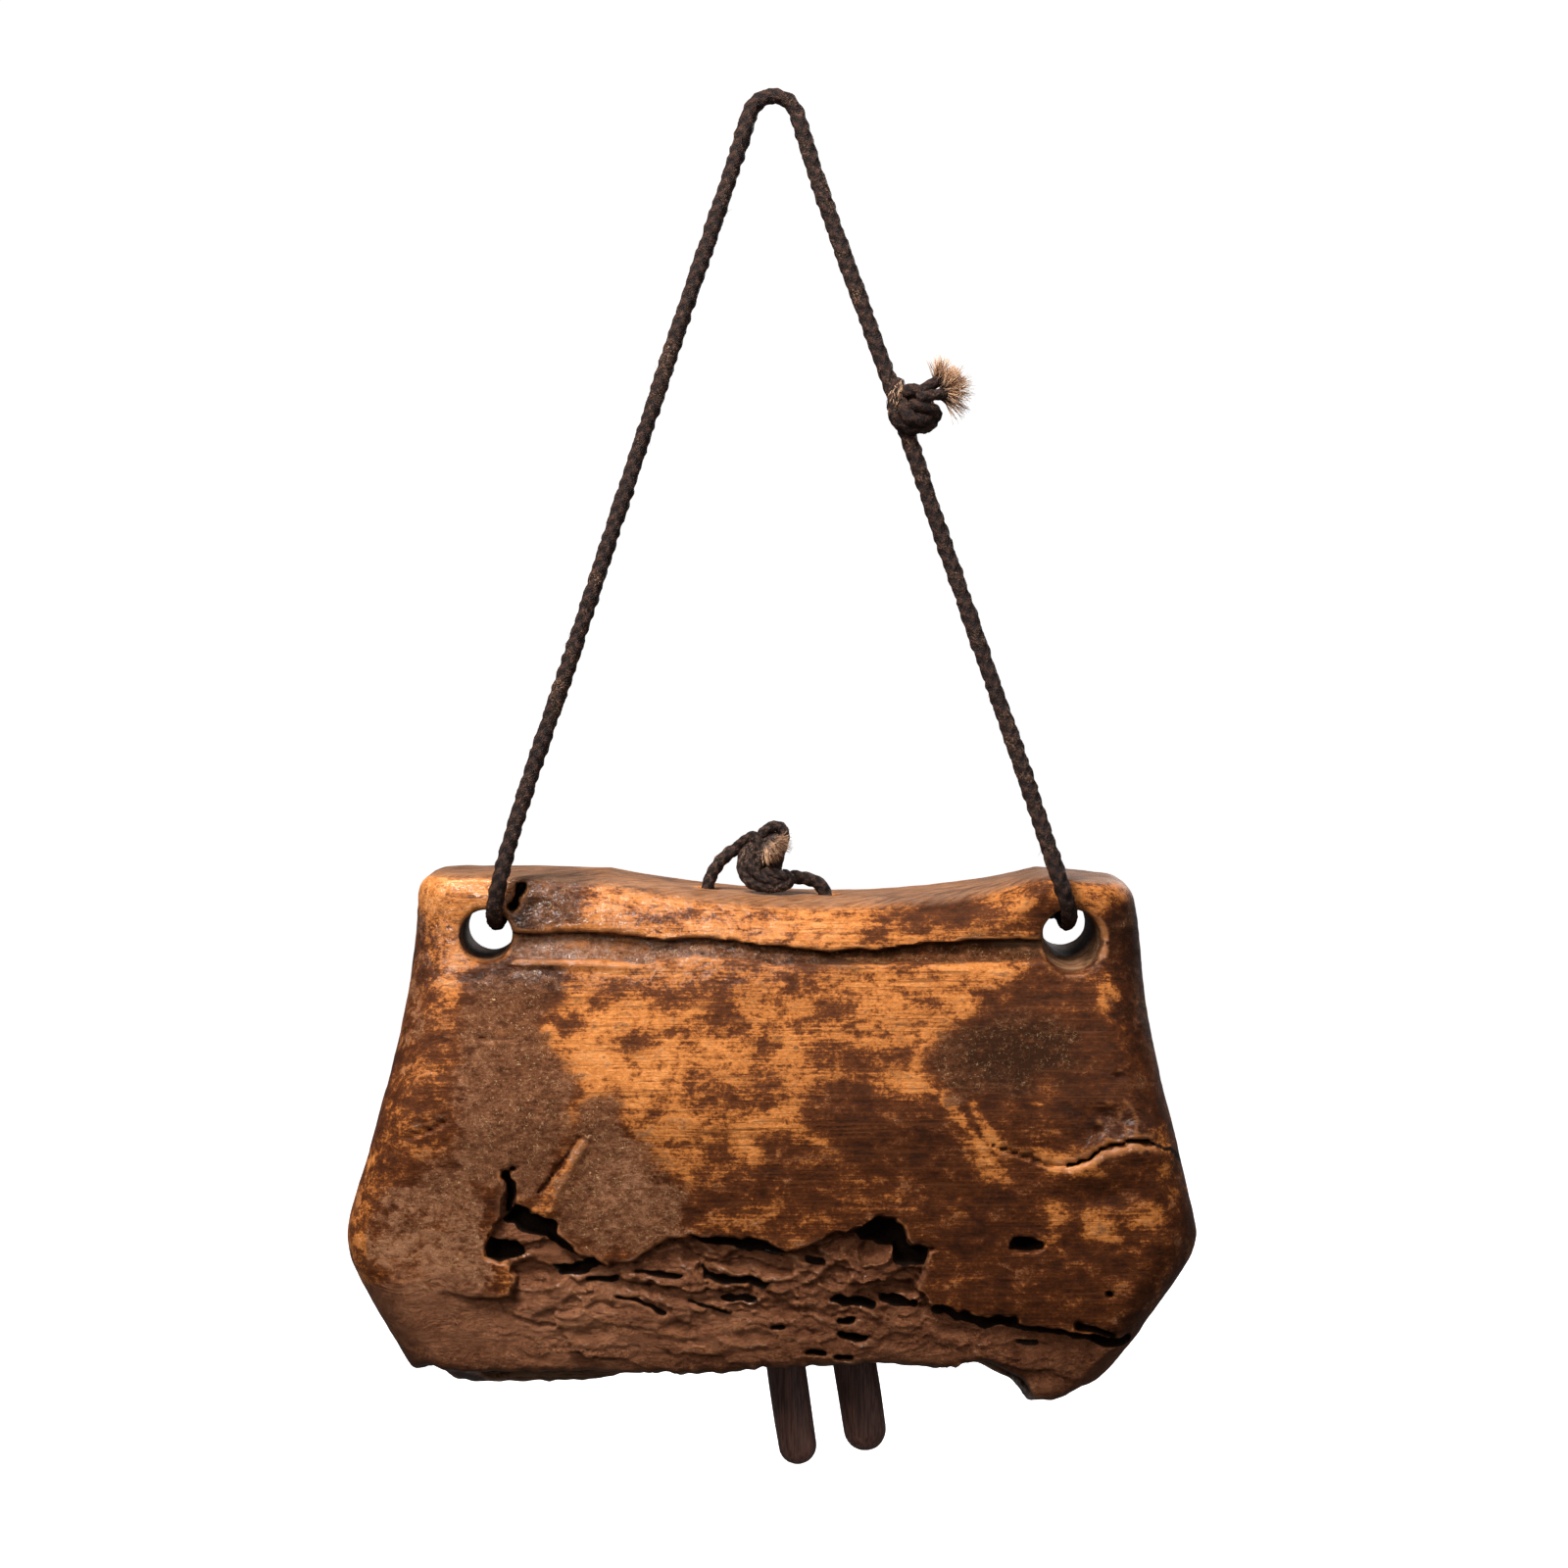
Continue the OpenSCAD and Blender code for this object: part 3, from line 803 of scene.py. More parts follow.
def from_line(line, x, z):
    """Distance from a line of points."""
    best = np.full(x.shape, 1e9)
    for (ax, az), (bx, bz) in zip(line[:-1], line[1:]):
        t = np.clip(((x - ax) * (bx - ax) + (z - az) * (bz - az)) / ((bx - ax) ** 2 + (bz - az) ** 2), 0, 1)
        best = np.minimum(best, np.hypot(x - ax - t * (bx - ax), z - az - t * (bz - az)))
    return best


def within(outline, x, z):
    """How far inside a closed outline each point is, negative outside it."""
    inside = np.zeros(x.shape, bool)
    for (ax, az), (bx, bz) in zip(outline, outline[1:] + outline[:1]):
        if az != bz:
            inside ^= ((az > z) != (bz > z)) & (x < (bx - ax) * (z - az) / (bz - az) + ax)
    return from_line(outline + outline[:1], x, z) * np.where(inside, 1, -1)


def chips(x, z, size, seed):
    """Overlapping chips of rotted wood, each lifted at its foot: how far each point stands out, -1 to 1."""
    table = np.random.default_rng(seed).uniform(0, 1, (64, 64, 4))
    u, v = x / size[0], z / size[1]
    cu, cv = np.floor(u).astype(int), np.floor(v).astype(int)
    nearest, out = np.full(x.shape, 9.0), np.zeros(x.shape)
    for du, dv in np.ndindex(3, 3):
        ju, jv, height, tilt = np.moveaxis(table[(cu + du - 1) % 64, (cv + dv - 1) % 64], -1, 0)
        off_u, off_v = u - (cu + du - 1 + ju), v - (cv + dv - 1 + jv)
        away = np.hypot(off_u, off_v)
        closer = away < nearest
        out = np.where(closer, 1.4 * (height - 0.5) - (0.4 + 0.9 * tilt) * off_v, out)
        nearest = np.minimum(nearest, away)
    return out


def front_wear(x, z):
    """How deep the front is worn at each (x, z), and how much of that depth is a dark gap, whose deepest part is
    painted near-black as shade.
    """
    flat = np.stack([x, np.zeros_like(x), z], axis=1)
    wx = x + 1.3 * noise(flat, 8, 201) + 1.2 * noise(flat, 2.8, 203)
    wz = z + 0.9 * noise(flat, 8, 205) + 0.8 * noise(flat, 2.8, 207)
    below = within(CRUMBLED, wx, wz)
    inside = step(below, 0, 0.9) * (0.15 + 0.85 * step(x, -122, -100))
    depth = inside * (0.5 + read(EDGE_STEP, x) * np.exp(-np.maximum(below, 0) / 6))
    lean_x, lean_z = wx - 0.12 * wz, wz + 0.12 * wx
    lean_x, lean_z = lean_x + 3 * noise(flat, 11, 211), lean_z + 1.8 * noise(flat, 9, 213)
    rough = 1.5 * chips(lean_x, lean_z, (21, 8), 1) + 0.7 * chips(lean_x, lean_z, (8, 3.4), 2)
    fade = 1 - 0.55 * step(-z, 414 - 0.1 * np.abs(x), 434)
    scooped = np.zeros(x.shape)
    for sx, sz, half_x, half_z, tilt, deep in SCOOPS:
        off_x, off_z = wx - sx, wz - sz - tilt * (wx - sx)
        r = np.hypot(off_x / half_x, off_z / half_z)
        scooped += deep * np.sqrt(np.maximum(1 - r**2, 0)) * (0.75 + 0.5 * off_z / half_z)
        scooped -= 0.35 * deep * np.exp(-(((r - 1.12) / 0.13) ** 2)) * step(-off_z / half_z, -0.1, 0.5)
    chipped = read(CHIPPING, x) * fade * (1.6 - rough + 0.35 * noise(flat, 1.8, 215))
    depth += inside * (chipped + scooped)

    gap = np.zeros(x.shape)
    for outline, deep in HOLLOWS:
        gap = np.maximum(gap, deep * step(within(outline, wx, wz), -1.0, 0.8))
    uneven = 1.1 + 0.45 * noise(flat, 3, 235)
    for line, half, deep in SLOTS:
        wander = min(1, (half / 1.8) ** 2)
        away = from_line(line, x + wander * (wx - x), z + wander * (wz - z)) * uneven
        gap = np.maximum(gap, deep * (1 - step(away, 0.3 * half, 1.2 * half)))

    top = read(GROOVE_TOP, x) + 0.4 * noise(flat, 5, 221)
    foot = read(GROOVE_FOOT, x) + 0.3 * noise(flat, 7, 223)
    up = (z - foot) / (top - foot)
    run = step(x, -93, -90) * (1 - step(x, 92, 97))
    floor = 3.6 * np.clip(up, 0, 1) ** 0.5 + 0.3 * noise(flat, (9, 9, 2), 225)
    undercut = 1.6 * np.exp(-(((z - top + 0.7) / 0.7) ** 2)) * (0.6 + 0.6 * noise(flat, 8, 233))
    groove = run * (up > 0) * (1 - step(z, top - 0.3, top + 0.5)) * (floor + undercut)
    pocket = 2.0 * np.exp(-(((x - 116) / 8.5) ** 4) - ((z + 354.5) / 5.5) ** 4)
    pocket *= 1 + 0.8 * noise(flat, (4, 4, 3), 227)
    dip = 1.4 * np.exp(-(((x - 117 - 0.9 * (z + 379)) / 14) ** 2) - ((z + 379) / 5) ** 2)
    bruise = 1.1 * np.exp(-(((x + 79) / 9) ** 2) - ((z + 279) / 5) ** 2) * (1 + noise(flat, 4, 229))
    return np.maximum(depth + groove + pocket + dip + bruise, gap), gap


def bell_field(axes):
    x, y, z = axes[0][:, None, None], axes[1][None, :, None], axes[2][None, None, :]
    block = bell_block(x, y, z)
    plan = np.meshgrid(axes[0], axes[2], indexing="ij")
    wear, gap = (w.reshape(plan[0].shape)[:, None, :] for w in front_wear(*(p.ravel() for p in plan)))
    front = -y - (profile(DEPTH, z) - BULGE * (x / 150) ** 2 - wear)
    field = np.maximum(block, np.where(wear > 0.02, front, -50))
    field = smooth_max(field, -bell_hollow(x, y, z), 4).astype(np.float32)

    rough = 0.5 * np.interp(axes[0], np.arange(-160, 161, 3), np.random.default_rng(5).normal(0, 1, 107))
    edge = (read(FRONT_EDGE, axes[0]) + rough)[:, None, None] - 0.19 * (y + 46)
    strip = 3 * step(axes[0], -124, -118) * (1 - step(axes[0], -66, -52))
    field = smooth_max(field, edge - strip[:, None, None] * step(y, 10, 26) - z, 2.5)

    for cx, cz, lean_x, lean_z, flare in ((-99.9, -290.2, -1.8, -2.0, 0.5), (103.8, -290.5, 0, 0, 2.6)):
        forward, back = np.clip((-y - 16) / 18, 0, 1) ** 1.5, np.clip((y + 33) / 66, 0, 1)
        away_x = x - cx - lean_x * back - 0.2 * flare * forward
        away_z = z - cz - lean_z * back + 0.9 * flare * forward
        field = smooth_max(field, 8.9 + flare * forward - np.sqrt(away_x**2 + away_z**2), 1.6)
    notches = capsule(x, y, z, (-86, -34, -266), (-94, -37, -283), 4.2)
    notches = np.minimum(notches, capsule(x, y, z, (-91, -38, -262), (-96.5, -38, -281), 3.6))
    notches = np.minimum(notches, capsule(x, y, z, (98.5, -38, -262), (102, -38, -281), 3.6))
    field = smooth_max(field, -notches, 3)

    back_run = capsule(x, y, z, (-88, 30, -288), (94, 30, -288), 5.6)
    turns = (
        ((-97, 0, -286), (-97, 16, -286)),
        ((-97, 14, -286), (-88, 30, -288)),
        ((103, 14, -286), (94, 30, -288)),
    )
    for a, b in turns:
        back_run = np.minimum(back_run, capsule(x, y, z, a, b, 4.6))
    field = smooth_max(field, -back_run, 2.5)
    for cx in (-24, 19.5):
        cord_hole = np.sqrt((x - cx) ** 2 + y**2) - 3.9
        field = smooth_max(field, -np.maximum(cord_hole, np.abs(z + 294) - 30), 2.5)
    return field


# ---------------------------------------------------------------- the bell's colours

# Where hands and hide have rubbed the front to gold, and where matt grime has stayed: outlines in (x, z)
GOLD = [
    [(-72, -300), (-73, -310), (-76, -316), (-81.4, -322), (-79, -329), (-71, -337), (-68.5, -343),
    (-71, -353), (-65, -347.5), (-53, -345), (-51, -354.4), (-41, -365.6), (-31, -377), (-16, -372),
    (-6, -371), (-3, -361), (8.7, -357.5), (18, -359.5), (9, -351), (9, -345.4), (23, -340.8), (38, -342.6),
    (51, -346.4), (61, -343.6), (53, -337.7), (53, -332), (60, -325), (69, -320), (73, -313.5), (72, -308),
    (89, -299), (92, -280), (84, -268), (-60, -268), (-68, -284), (-84, -286)], [(-134, -268), (-92, -268),
    (-88, -280), (-93, -296), (-108, -303), (-124, -300), (-136, -288)], [(55, -342), (59, -344),
    (76, -366), (72, -368)], [(96, -270), (126, -271), (129, -282), (120, -289), (112, -281), (98, -277)],
    [(70, -369.5), (80, -371), (81, -375.5), (70.5, -375)], [(91.5, -363.6), (102, -364), (112, -369.5),
    (108, -373), (93, -372)], [(117, -318), (131, -319), (136, -326), (119, -325)], [(109, -303),
    (114, -303), (121, -320), (114, -318)], [(91.5, -339), (96, -340), (97, -347), (92, -346)],
    [(131, -362), (143, -372), (148, -392), (141, -380), (134, -372)], [(107, -383), (119, -386),
    (118, -394), (108, -394.6)], [(123, -385), (134, -380), (134, -387), (124, -388.5)], [(93, -381),
    (99, -380), (101, -386), (95, -394)], [(-139, -345), (-136, -345), (-145, -382), (-148, -390),
    (-150, -384)], [(-116, -304), (-109, -305), (-110, -314), (-116, -313)], [(-67, -360), (-63.5, -361),
    (-72, -380), (-77, -387), (-82, -385), (-78, -377)],
]
SOILED = [
    [(-104, -302), (-72, -302), (-76, -316), (-81, -322), (-79, -329), (-71, -337), (-68, -343),
    (-70, -353), (-80, -378), (-94, -374), (-110, -372), (-108, -340)], [(-66, -348), (-53, -345),
    (-51, -354), (-41, -366), (-31, -377), (-33, -390), (-46, -399), (-60, -400), (-74, -390), (-76, -380),
    (-66, -362)], [(53, -333), (60, -325), (69, -320), (84, -316), (104, -322), (104, -336), (84, -343),
    (62, -344)], [(-92, -268), (-70, -268), (-67, -284), (-76, -290), (-90, -286)], [(-146, -384),
    (-128, -376), (-112, -366), (-98, -384), (-100, -420), (-136, -420)],
]
SCRATCHES = [
    [(56, -343), (63, -350), (70, -360), (75.5, -367)], [(69, -348), (73, -355), (77, -362)], [(-66, -361),
    (-70.5, -370), (-77, -383)], [(115, -304), (121, -316)],
]
# Darker (positive) and paler (negative) patches: middle, half sizes and strength. Most are stains; the wide
# bands over the upper front near z -306 to -312 are painted shade, and the spot at (-90, -283) is the carrying
# rope's shadow painted beside the left notch
SHADES = [
    (-17.5, -318, 8, 7, 0.26), (-4, -340, 11, 7, 0.26), (-26, -339, 6, 6, 0.24), (25, -334, 13, 9, 0.3),
    (43, -331, 4, 6, 0.26), (-70, -320, 5, 3.5, 0.32), (-48, -328, 6, 5, 0.32), (-4, -327, 7, 3, 0.25),
    (-58, -310, 14, 4, 0.14), (18, -317, 9, 4, 0.14), (20, -302, 24, 2.5, 0.24), (-40, -350, 5, 5, 0.14),
    (60, -284, 34, 9, 0.15), (62, -284, 12, 5, 0.12), (-30, -284, 16, 2.5, 0.14), (-118, -292, 5, 7, 0.16),
    (80, -292, 10, 3, 0.2), (115, -290, 18, 26, 0.22), (35, -360, 40, 22, 0.05), (-12, -377, 30, 6, 0.06),
    (-112, -279, 16, 8, -0.16), (-106, -300, 12, 6, -0.06), (-125, -350, 24, 44, -0.11),
    (-130, -390, 30, 20, -0.07), (0, -276, 60, 5, -0.06), (135, -385, 14, 22, -0.08),
    (-10, -308, 90, 11, 0.07), (-90, -283, 8, 6, 0.3), (80, -330, 30, 16, 0.16), (110, -400, 40, 30, 0.06),
    (-20, -366, 13, 8, 0.16), (-12, -384, 26, 8, -0.06), (50, -284, 44, 8, 0.08), (84, -331, 20, 10, 0.14),
    (116, -279, 12, 7, -0.16), (-50, -374, 14, 14, -0.13), (-13, -385, 20, 8, -0.08),
    (-70, -427, 26, 12, -0.12), (-122, -400, 26, 18, -0.08), (-121, -370, 12, 14, 0.1),
    (121, -338, 12, 14, 0.08), (-30, -312, 36, 6, 0.09), (-21, -367, 16, 10, 0.08),
    (-50, -283, 22, 7, 0.07), (47, -283, 20, 7, 0.05), (-10, -306, 60, 7, 0.08), (115, -335, 24, 24, 0.06),
    (66, -400, 22, 12, 0.06), (-85, -424, 55, 20, -0.2), (-10, -418, 40, 24, -0.06),
]


def zone(points, outlines, ragged, seed):
    """How many millimetres inside the nearest of several outlines each point is, with ragged borders."""
    x = points[:, 0] + ragged * fractal(points, (13, 13, 6), seed)
    z = points[:, 2] + ragged * fractal(points, (13, 13, 6), seed + 10)
    return np.max([within(outline, x, z) for outline in outlines], axis=0)


def shade(points, seed):
    """How much darker the patches make each point: stains, with painted shade in a few of them."""
    x, z = points[:, 0] + 3 * fractal(points, 9, seed), points[:, 2] + 2 * fractal(points, 9, seed + 10)
    return sum(n * np.exp(-(((x - sx) / a) ** 2) - ((z - sz) / b) ** 2) for sx, sz, a, b, n in SHADES)


def normals_of(points, quads):
    """A unit normal at each point, from the quads round it."""
    p = points[quads]
    face = np.cross(p[:, 2] - p[:, 0], p[:, 3] - p[:, 1])
    return unit_rows(gather(len(points), quads, [face] * 4))


def gather(count, quads, values):
    """Adds up, at each point, one value from each corner of each quad that it is in."""
    total = np.zeros((count, *values[0].shape[1:]))
    for corner, value in zip(quads.T, values):
        for k in range(3):
            total[:, k] += np.bincount(corner, value[:, k], count)
    return total


def convexity(points, quads, normals):
    """How sharply the surface turns at each point: positive on edges, negative in creases."""
    p = points[quads]
    near = gather(len(points), quads, [p[:, (k + 1) % 4] + p[:, (k + 3) % 4] for k in range(4)])
    count = np.bincount(quads.ravel(), minlength=len(points))[:, None] * 2
    turn = -((near / count - points) * normals).sum(axis=1)
    rows = np.stack([turn] * 3, axis=1)
    spread = gather(len(points), quads, [rows[quads].mean(axis=1)] * 4)[:, 0] / (count[:, 0] / 2)
    return 0.4 * turn + 0.6 * spread


def bell_axes():
    """Grid lines: close together across the crumbled front, wider elsewhere."""
    fine = 1.0
    x = np.arange(-156, 156.1, 0.95 * fine)
    y = np.concatenate([np.arange(-53, -36, 0.9 * fine), np.arange(-35.4, 55, 1.5 * fine)])
    z = np.concatenate([np.arange(-467, -445, 1.2 * fine), np.arange(-444.5, -368, 0.7 * fine)])
    z = np.concatenate([z, np.arange(-367, -304, 1.3 * fine), np.arange(-303.5, -263, 0.9 * fine)])
    return [x, y, z]


def roughened(points, normals, shell, facing):
    """The surface pushed in and out: lumps and tool marks all over, and a few raised ridges on the front."""
    x, z = points[:, 0], points[:, 2]
    lumps = 0.55 * fractal(points, (60, 60, 34), 21, 2) + 0.22 * noise(points, (16, 10, 9), 24)
    fine = 0.10 * fractal(points, (5, 5, 2.6), 33, 2)
    push = (lumps + fine) * shell + (1 - shell) * 0.8 * fractal(points, (9, 9, 30), 41)
    scar = from_line([(-65.5, -361), (-70.5, -370), (-77.5, -384)], x, z)
    push += 1.1 * np.exp(-((scar / 2.2) ** 2)) * facing
    lip = from_line([(102, -371), (113, -366), (124, -363.5), (137, -367)], x, z)
    push += 0.9 * np.exp(-((lip / 3.5) ** 2)) * facing
    bead = (z - read(GROOVE_FOOT, x) + 0.6) / 1.3
    push += 1.3 * np.exp(-(bead**2)) * facing * step(x, -93, -88) * (1 - step(x, -70, -20))
    moved = points + normals * push[:, None]
    for axis in range(2):
        moved[:, axis] = np.clip(moved[:, axis], cad_low[axis] / MM, cad_high[axis] / MM)
    return moved


def patches(points, normals, shell):
    """Gold, soil and shade at each point: laid out on the front, mirrored on the back, blotches at the sides."""
    x, y, z = points.T
    foot = read(GROOVE_FOOT, x)
    grooved = step(z, foot - 0.5, foot + 1.5) * (z < read(GROOVE_TOP, x) + 0.5)
    grooved *= step(x, -93, -88) * (1 - step(x, 90, 97))
    away = np.min([from_line(line, x, z) for line in SCRATCHES], axis=0)
    gold = np.maximum(zone(points, GOLD, 2.2, 43), 6 - 3.2 * away)
    soil = np.maximum(zone(points, SOILED, 3.5, 53), 9 * grooved - 5)
    most = 1.0 + 30 * np.maximum(step(z, -384, -368), step(x, -108, -94))
    dark = shade(points, 61) + grooved * read([(-80, -0.14), (-30, 0.0), (10, 0.12)], x)

    far = step(y, -5, 12)
    mirrored = points * np.array([-1, 1, 1]) + np.array([13, 0, 4])
    gold = gold * (1 - far) + zone(mirrored, GOLD, 7, 47) * far
    soil = np.minimum(soil * (1 - far), most) + zone(mirrored, SOILED, 7, 57) * far
    dark = dark * (1 - far) + shade(mirrored, 63) * far

    side = step(np.abs(normals[:, 0]) + 0.35 * fractal(points, (9, 9, 14), 77), 0.4, 0.95)
    side *= shell * step(-z, 275, 285)
    gold += side * (7 * fractal(points, (30, 20, 34), 71) - 5 - gold)
    soil += side * (9 * fractal(points, (40, 30, 40), 75) - 7 - soil)
    return gold, soil, dark


def make_bell():
    axes = bell_axes()
    points, quads = surface_of(bell_field(axes), axes)
    normals = normals_of(points, quads)
    x, y, z = points.T
    facing = step(-normals[:, 1], 0.2, 0.6) * step(-y, 10, 24)
    shell = 1 - step(-bell_hollow(x, y, z), -3, 0)
    moved = roughened(points, normals, shell, facing)
    turn = convexity(moved, quads, normals_of(moved, quads)) / 0.16
    gold, soil, dark = patches(points, normals, shell)

    in_front = step(-y, 18, 26)
    soft = 9 * (1 - step(x, -112, -94))
    below = within(CRUMBLED, x, z) + soft * fractal(points, (14, 14, 6), 79)
    polish = 0.9 * step(z, -312, -298) * facing * step(x, -146, -134) * (1 - step(x, -50, 40))
    polish = np.maximum(polish, 0.7 * np.exp(-(((x - 118) / 12) ** 2) - ((z + 356) / 8) ** 2) * facing)
    at_right = step(x, 60, 90)
    in_hole = step(-bell_block(x, y, z), 4 - 2.6 * at_right, 9 - 4.5 * at_right)
    bell = make_object(
        "bell_block",
        moved,
        quads.tolist(),
        bell_wood(),
        polish=polish,
        gold=gold,
        soil=soil,
        shade=dark,
        rot=step(below, -1.5 - soft, 2 + soft) * in_front * shell,
        pit=step(front_wear(x, z)[1], 0.9, 3.6) * in_front,
        edge=np.clip(turn, 0, 1),
        crease=np.clip(-turn, 0, 1),
        inner=1 - shell,
        hole=in_hole * shell * (1 - step(-z, 303, 312)),
        top=step(normals[:, 2], 0.8, 0.97) * step(z, -286, -281),
    )
    return place(bell, "bell", "bell_wood", "bell_body")


def bell_wood():
    """Hand-polished hardwood: gold where rubbed, else dark brown, with matt grime and a rotted foot; painted
    shade in its creases, gaps and flake feet, and painted highlights on its edges and flake lips.
    """
    m = Material("bell_wood", Specular_IOR_Level=0.16, Coat_Roughness=0.17, Coat_IOR=1.45)
    m.shader.inputs["Specular Tint"].default_value = (1.0, 0.55, 0.34, 1)
    names = ("gold", "soil", "shade", "rot", "pit", "edge", "crease", "polish", "inner", "hole", "top")
    gold, soil, shaded, rot, pit, edge, crease, polish, inner, hole, top = map(m.attribute, names)

    mottle = m.noise((85, 140, 140), 11, 0.72, 0.2)
    broad = m.noise((22, 40, 40), 4, 0.6)
    grain = m.noise((26, 560, 560), 6, 0.7, 0.4)
    lines = m.noise((42, 1700, 1700), 3, 0.65)
    speck = m.noise((800, 950, 950), 6, 0.75)
    skin = m.noise((230, 330, 330), 8, 0.72)

    # the shade attribute darkens the tone: stains, and painted shade over the upper front and beside the left
    # rope
    tone = m.minus(m.remap(gold, -5, 4, 0.31, 0.68), shaded)
    textures = ((mottle, 1.6), (broad, 0.6), (grain, 0.40), (lines, 0.5), (skin, 0.95), (speck, 0.85))
    for texture, weight in textures:
        tone = m.plus(tone, m.centred(texture, weight))
    wood = m.ramp(tone, [
        (0.0, (0.018, 0.005, 0.002)), (0.26, (0.048, 0.012, 0.0032)), (0.43, (0.085, 0.023, 0.006)),
        (0.52, (0.19, 0.056, 0.012)), (0.60, (0.34, 0.110, 0.024)), (0.76, (0.48, 0.170, 0.042)),
        (1.0, (0.64, 0.27, 0.090)),
    ])
    soiled = m.plus(soil, m.centred(mottle, 34.0))
    soiled = m.remap(m.plus(soiled, m.centred(skin, 18.0)), -3.0, 3.0)
    fine = m.plus(m.times(speck, 0.45), m.times(skin, 0.55))
    grime = m.ramp(m.minus(fine, m.times(shaded, 0.55)), [
        (0.36, (0.024, 0.008, 0.003)), (0.46, (0.088, 0.030, 0.012)),
        (0.54, (0.165, 0.063, 0.028)), (0.64, (0.30, 0.140, 0.072)),
    ])
    # light flecks in the grime: partly stuck hairs, partly painted glints
    hairs = m.math("MAXIMUM", filaments(m, 520), filaments(m, 760))
    hairs = m.times(hairs, m.remap(shaded, 0.0, 0.3, 0.9, 0.35))
    grime = m.blend(hairs, grime, (0.58, 0.34, 0.17))
    brown = m.plus(m.times(fine, 0.7), m.times(broad, 0.3))
    rotten = m.ramp(m.minus(brown, m.times(shaded, 0.4)), [
        (0.36, (0.045, 0.013, 0.005)), (0.46, (0.140, 0.047, 0.020)),
        (0.54, (0.225, 0.083, 0.038)), (0.66, (0.36, 0.150, 0.075)),
    ])
    bare = m.blend(m.remap(grain, 0.35, 0.65), (0.080, 0.036, 0.017), (0.26, 0.135, 0.070))
    sawn = m.noise((700, 90, 90), 3, 0.6, source=m.turned(0.9))
    grey = m.blend(m.remap(sawn, 0.35, 0.65), (0.085, 0.040, 0.020), (0.24, 0.125, 0.070))

    streaks = m.remap(m.noise((30, 1300, 1300), 2), 0.59, 0.66)
    wood = m.blend(m.times(streaks, 0.6), wood, (0.085, 0.026, 0.008))
    colour = m.blend(m.times(soiled, 0.92), wood, grime)
    flakes = m.noise((60, 190, 190), 5, 0.58, 0.9)
    within_flake = m.math("MODULO", flakes, 0.045)
    broken = m.times(m.remap(skin, 0.44, 0.54), rot)
    # painted light on the flakes of the rotted foot: a highlight on each raised lip and a shadow at the foot of
    # its step
    flake_lip_highlight = m.times(m.remap(within_flake, 0.034, 0.042), broken)
    flake_foot_shadow = m.times(m.remap(within_flake, 0.0, 0.008, 1.0, 0.0), broken)
    rotten = m.blend(m.times(flake_lip_highlight, 0.55), rotten, (0.46, 0.19, 0.085))
    rotten = m.blend(m.times(flake_foot_shadow, 0.7), rotten, (0.035, 0.011, 0.005))
    colour = m.blend(m.times(rot, 0.92), colour, rotten)
    colour = m.blend(m.times(top, 0.75), colour, grey)
    # convex edges turn gold-brown: partly wear from handling, partly a painted highlight along the edges
    rubbed = m.remap(m.plus(edge, m.centred(mottle, 1.6)), 0.2, 0.8)
    colour = m.blend(m.times(rubbed, 0.55), colour, (0.38, 0.140, 0.042))
    # painted shade: creases found from the surface's curvature are darkened
    crease_shade = m.times(m.remap(crease, 0.25, 0.9), m.remap(mottle, 0.4, 0.6, 0.25, 0.95))
    colour = m.blend(crease_shade, colour, (0.020, 0.006, 0.003))
    colour = m.blend(m.times(hole, 0.8), colour, bare)
    # painted shade: the deepest parts of the gaps are coloured near-black
    colour = m.blend(m.remap(pit, 0.15, 0.7), colour, (0.007, 0.004, 0.003))
    colour = m.blend(inner, colour, bare)

    rough = m.mix(m.remap(tone, 0.3, 0.7), 0.42, 0.36)
    finishes = ((soiled, 0.52), (rot, 0.46), (rubbed, 0.30), (pit, 0.75), (hole, 0.6), (inner, 0.85))
    for mask, value in finishes:
        rough = m.mix(mask, rough, value)
    rough = m.plus(rough, m.centred(speck, 0.35))

    normal = m.bump(mottle, 0.0014, 0.35)
    normal = m.bump(grain, 0.0005, 0.5, normal)
    normal = m.bump(lines, 0.00022, 0.55, normal)
    normal = m.bump(m.times(within_flake, m.times(rot, rot)), 0.022, 1.0, normal)
    rough_skin = m.centred(fine, m.mix(m.math("MAXIMUM", rot, soiled), 0.35, 1.0))
    normal = m.bump(rough_skin, 0.0022, 1.0, normal)
    normal = m.bump(m.times(hairs, soiled), 0.0003, 0.6, normal)
    gloss = m.math("MAXIMUM", m.remap(edge, 0.15, 0.8, 0.0, 0.8), polish)
    gloss = m.times(gloss, m.remap(mottle, 0.42, 0.56, 0.25, 1.0))
    hammered = m.bump(m.noise((170, 260, 260), 4, 0.6), 0.0026, 1.0)
    m.tree.links.new(gloss, m.shader.inputs["Coat Weight"])
    m.tree.links.new(hammered, m.shader.inputs["Coat Normal"])
    return m.finish(colour, rough, normal)


def filaments(m, scale):
    """A mask of short curled light flecks, partly hairs and partly painted glints: thin bands where a smooth
    noise crosses its middle, broken up.
    """
    curl = m.noise((scale, scale, scale), 1, 0.5, 1.2)
    line = m.remap(m.math("ABSOLUTE", m.minus(curl, 0.5)), 0.008, 0.020, 1.0, 0.0)
    return m.times(line, m.remap(m.noise((scale * 0.9, scale * 1.1, scale), 1), 0.56, 0.62))


make_bell()


# ---------------------------------------------------------------- clappers


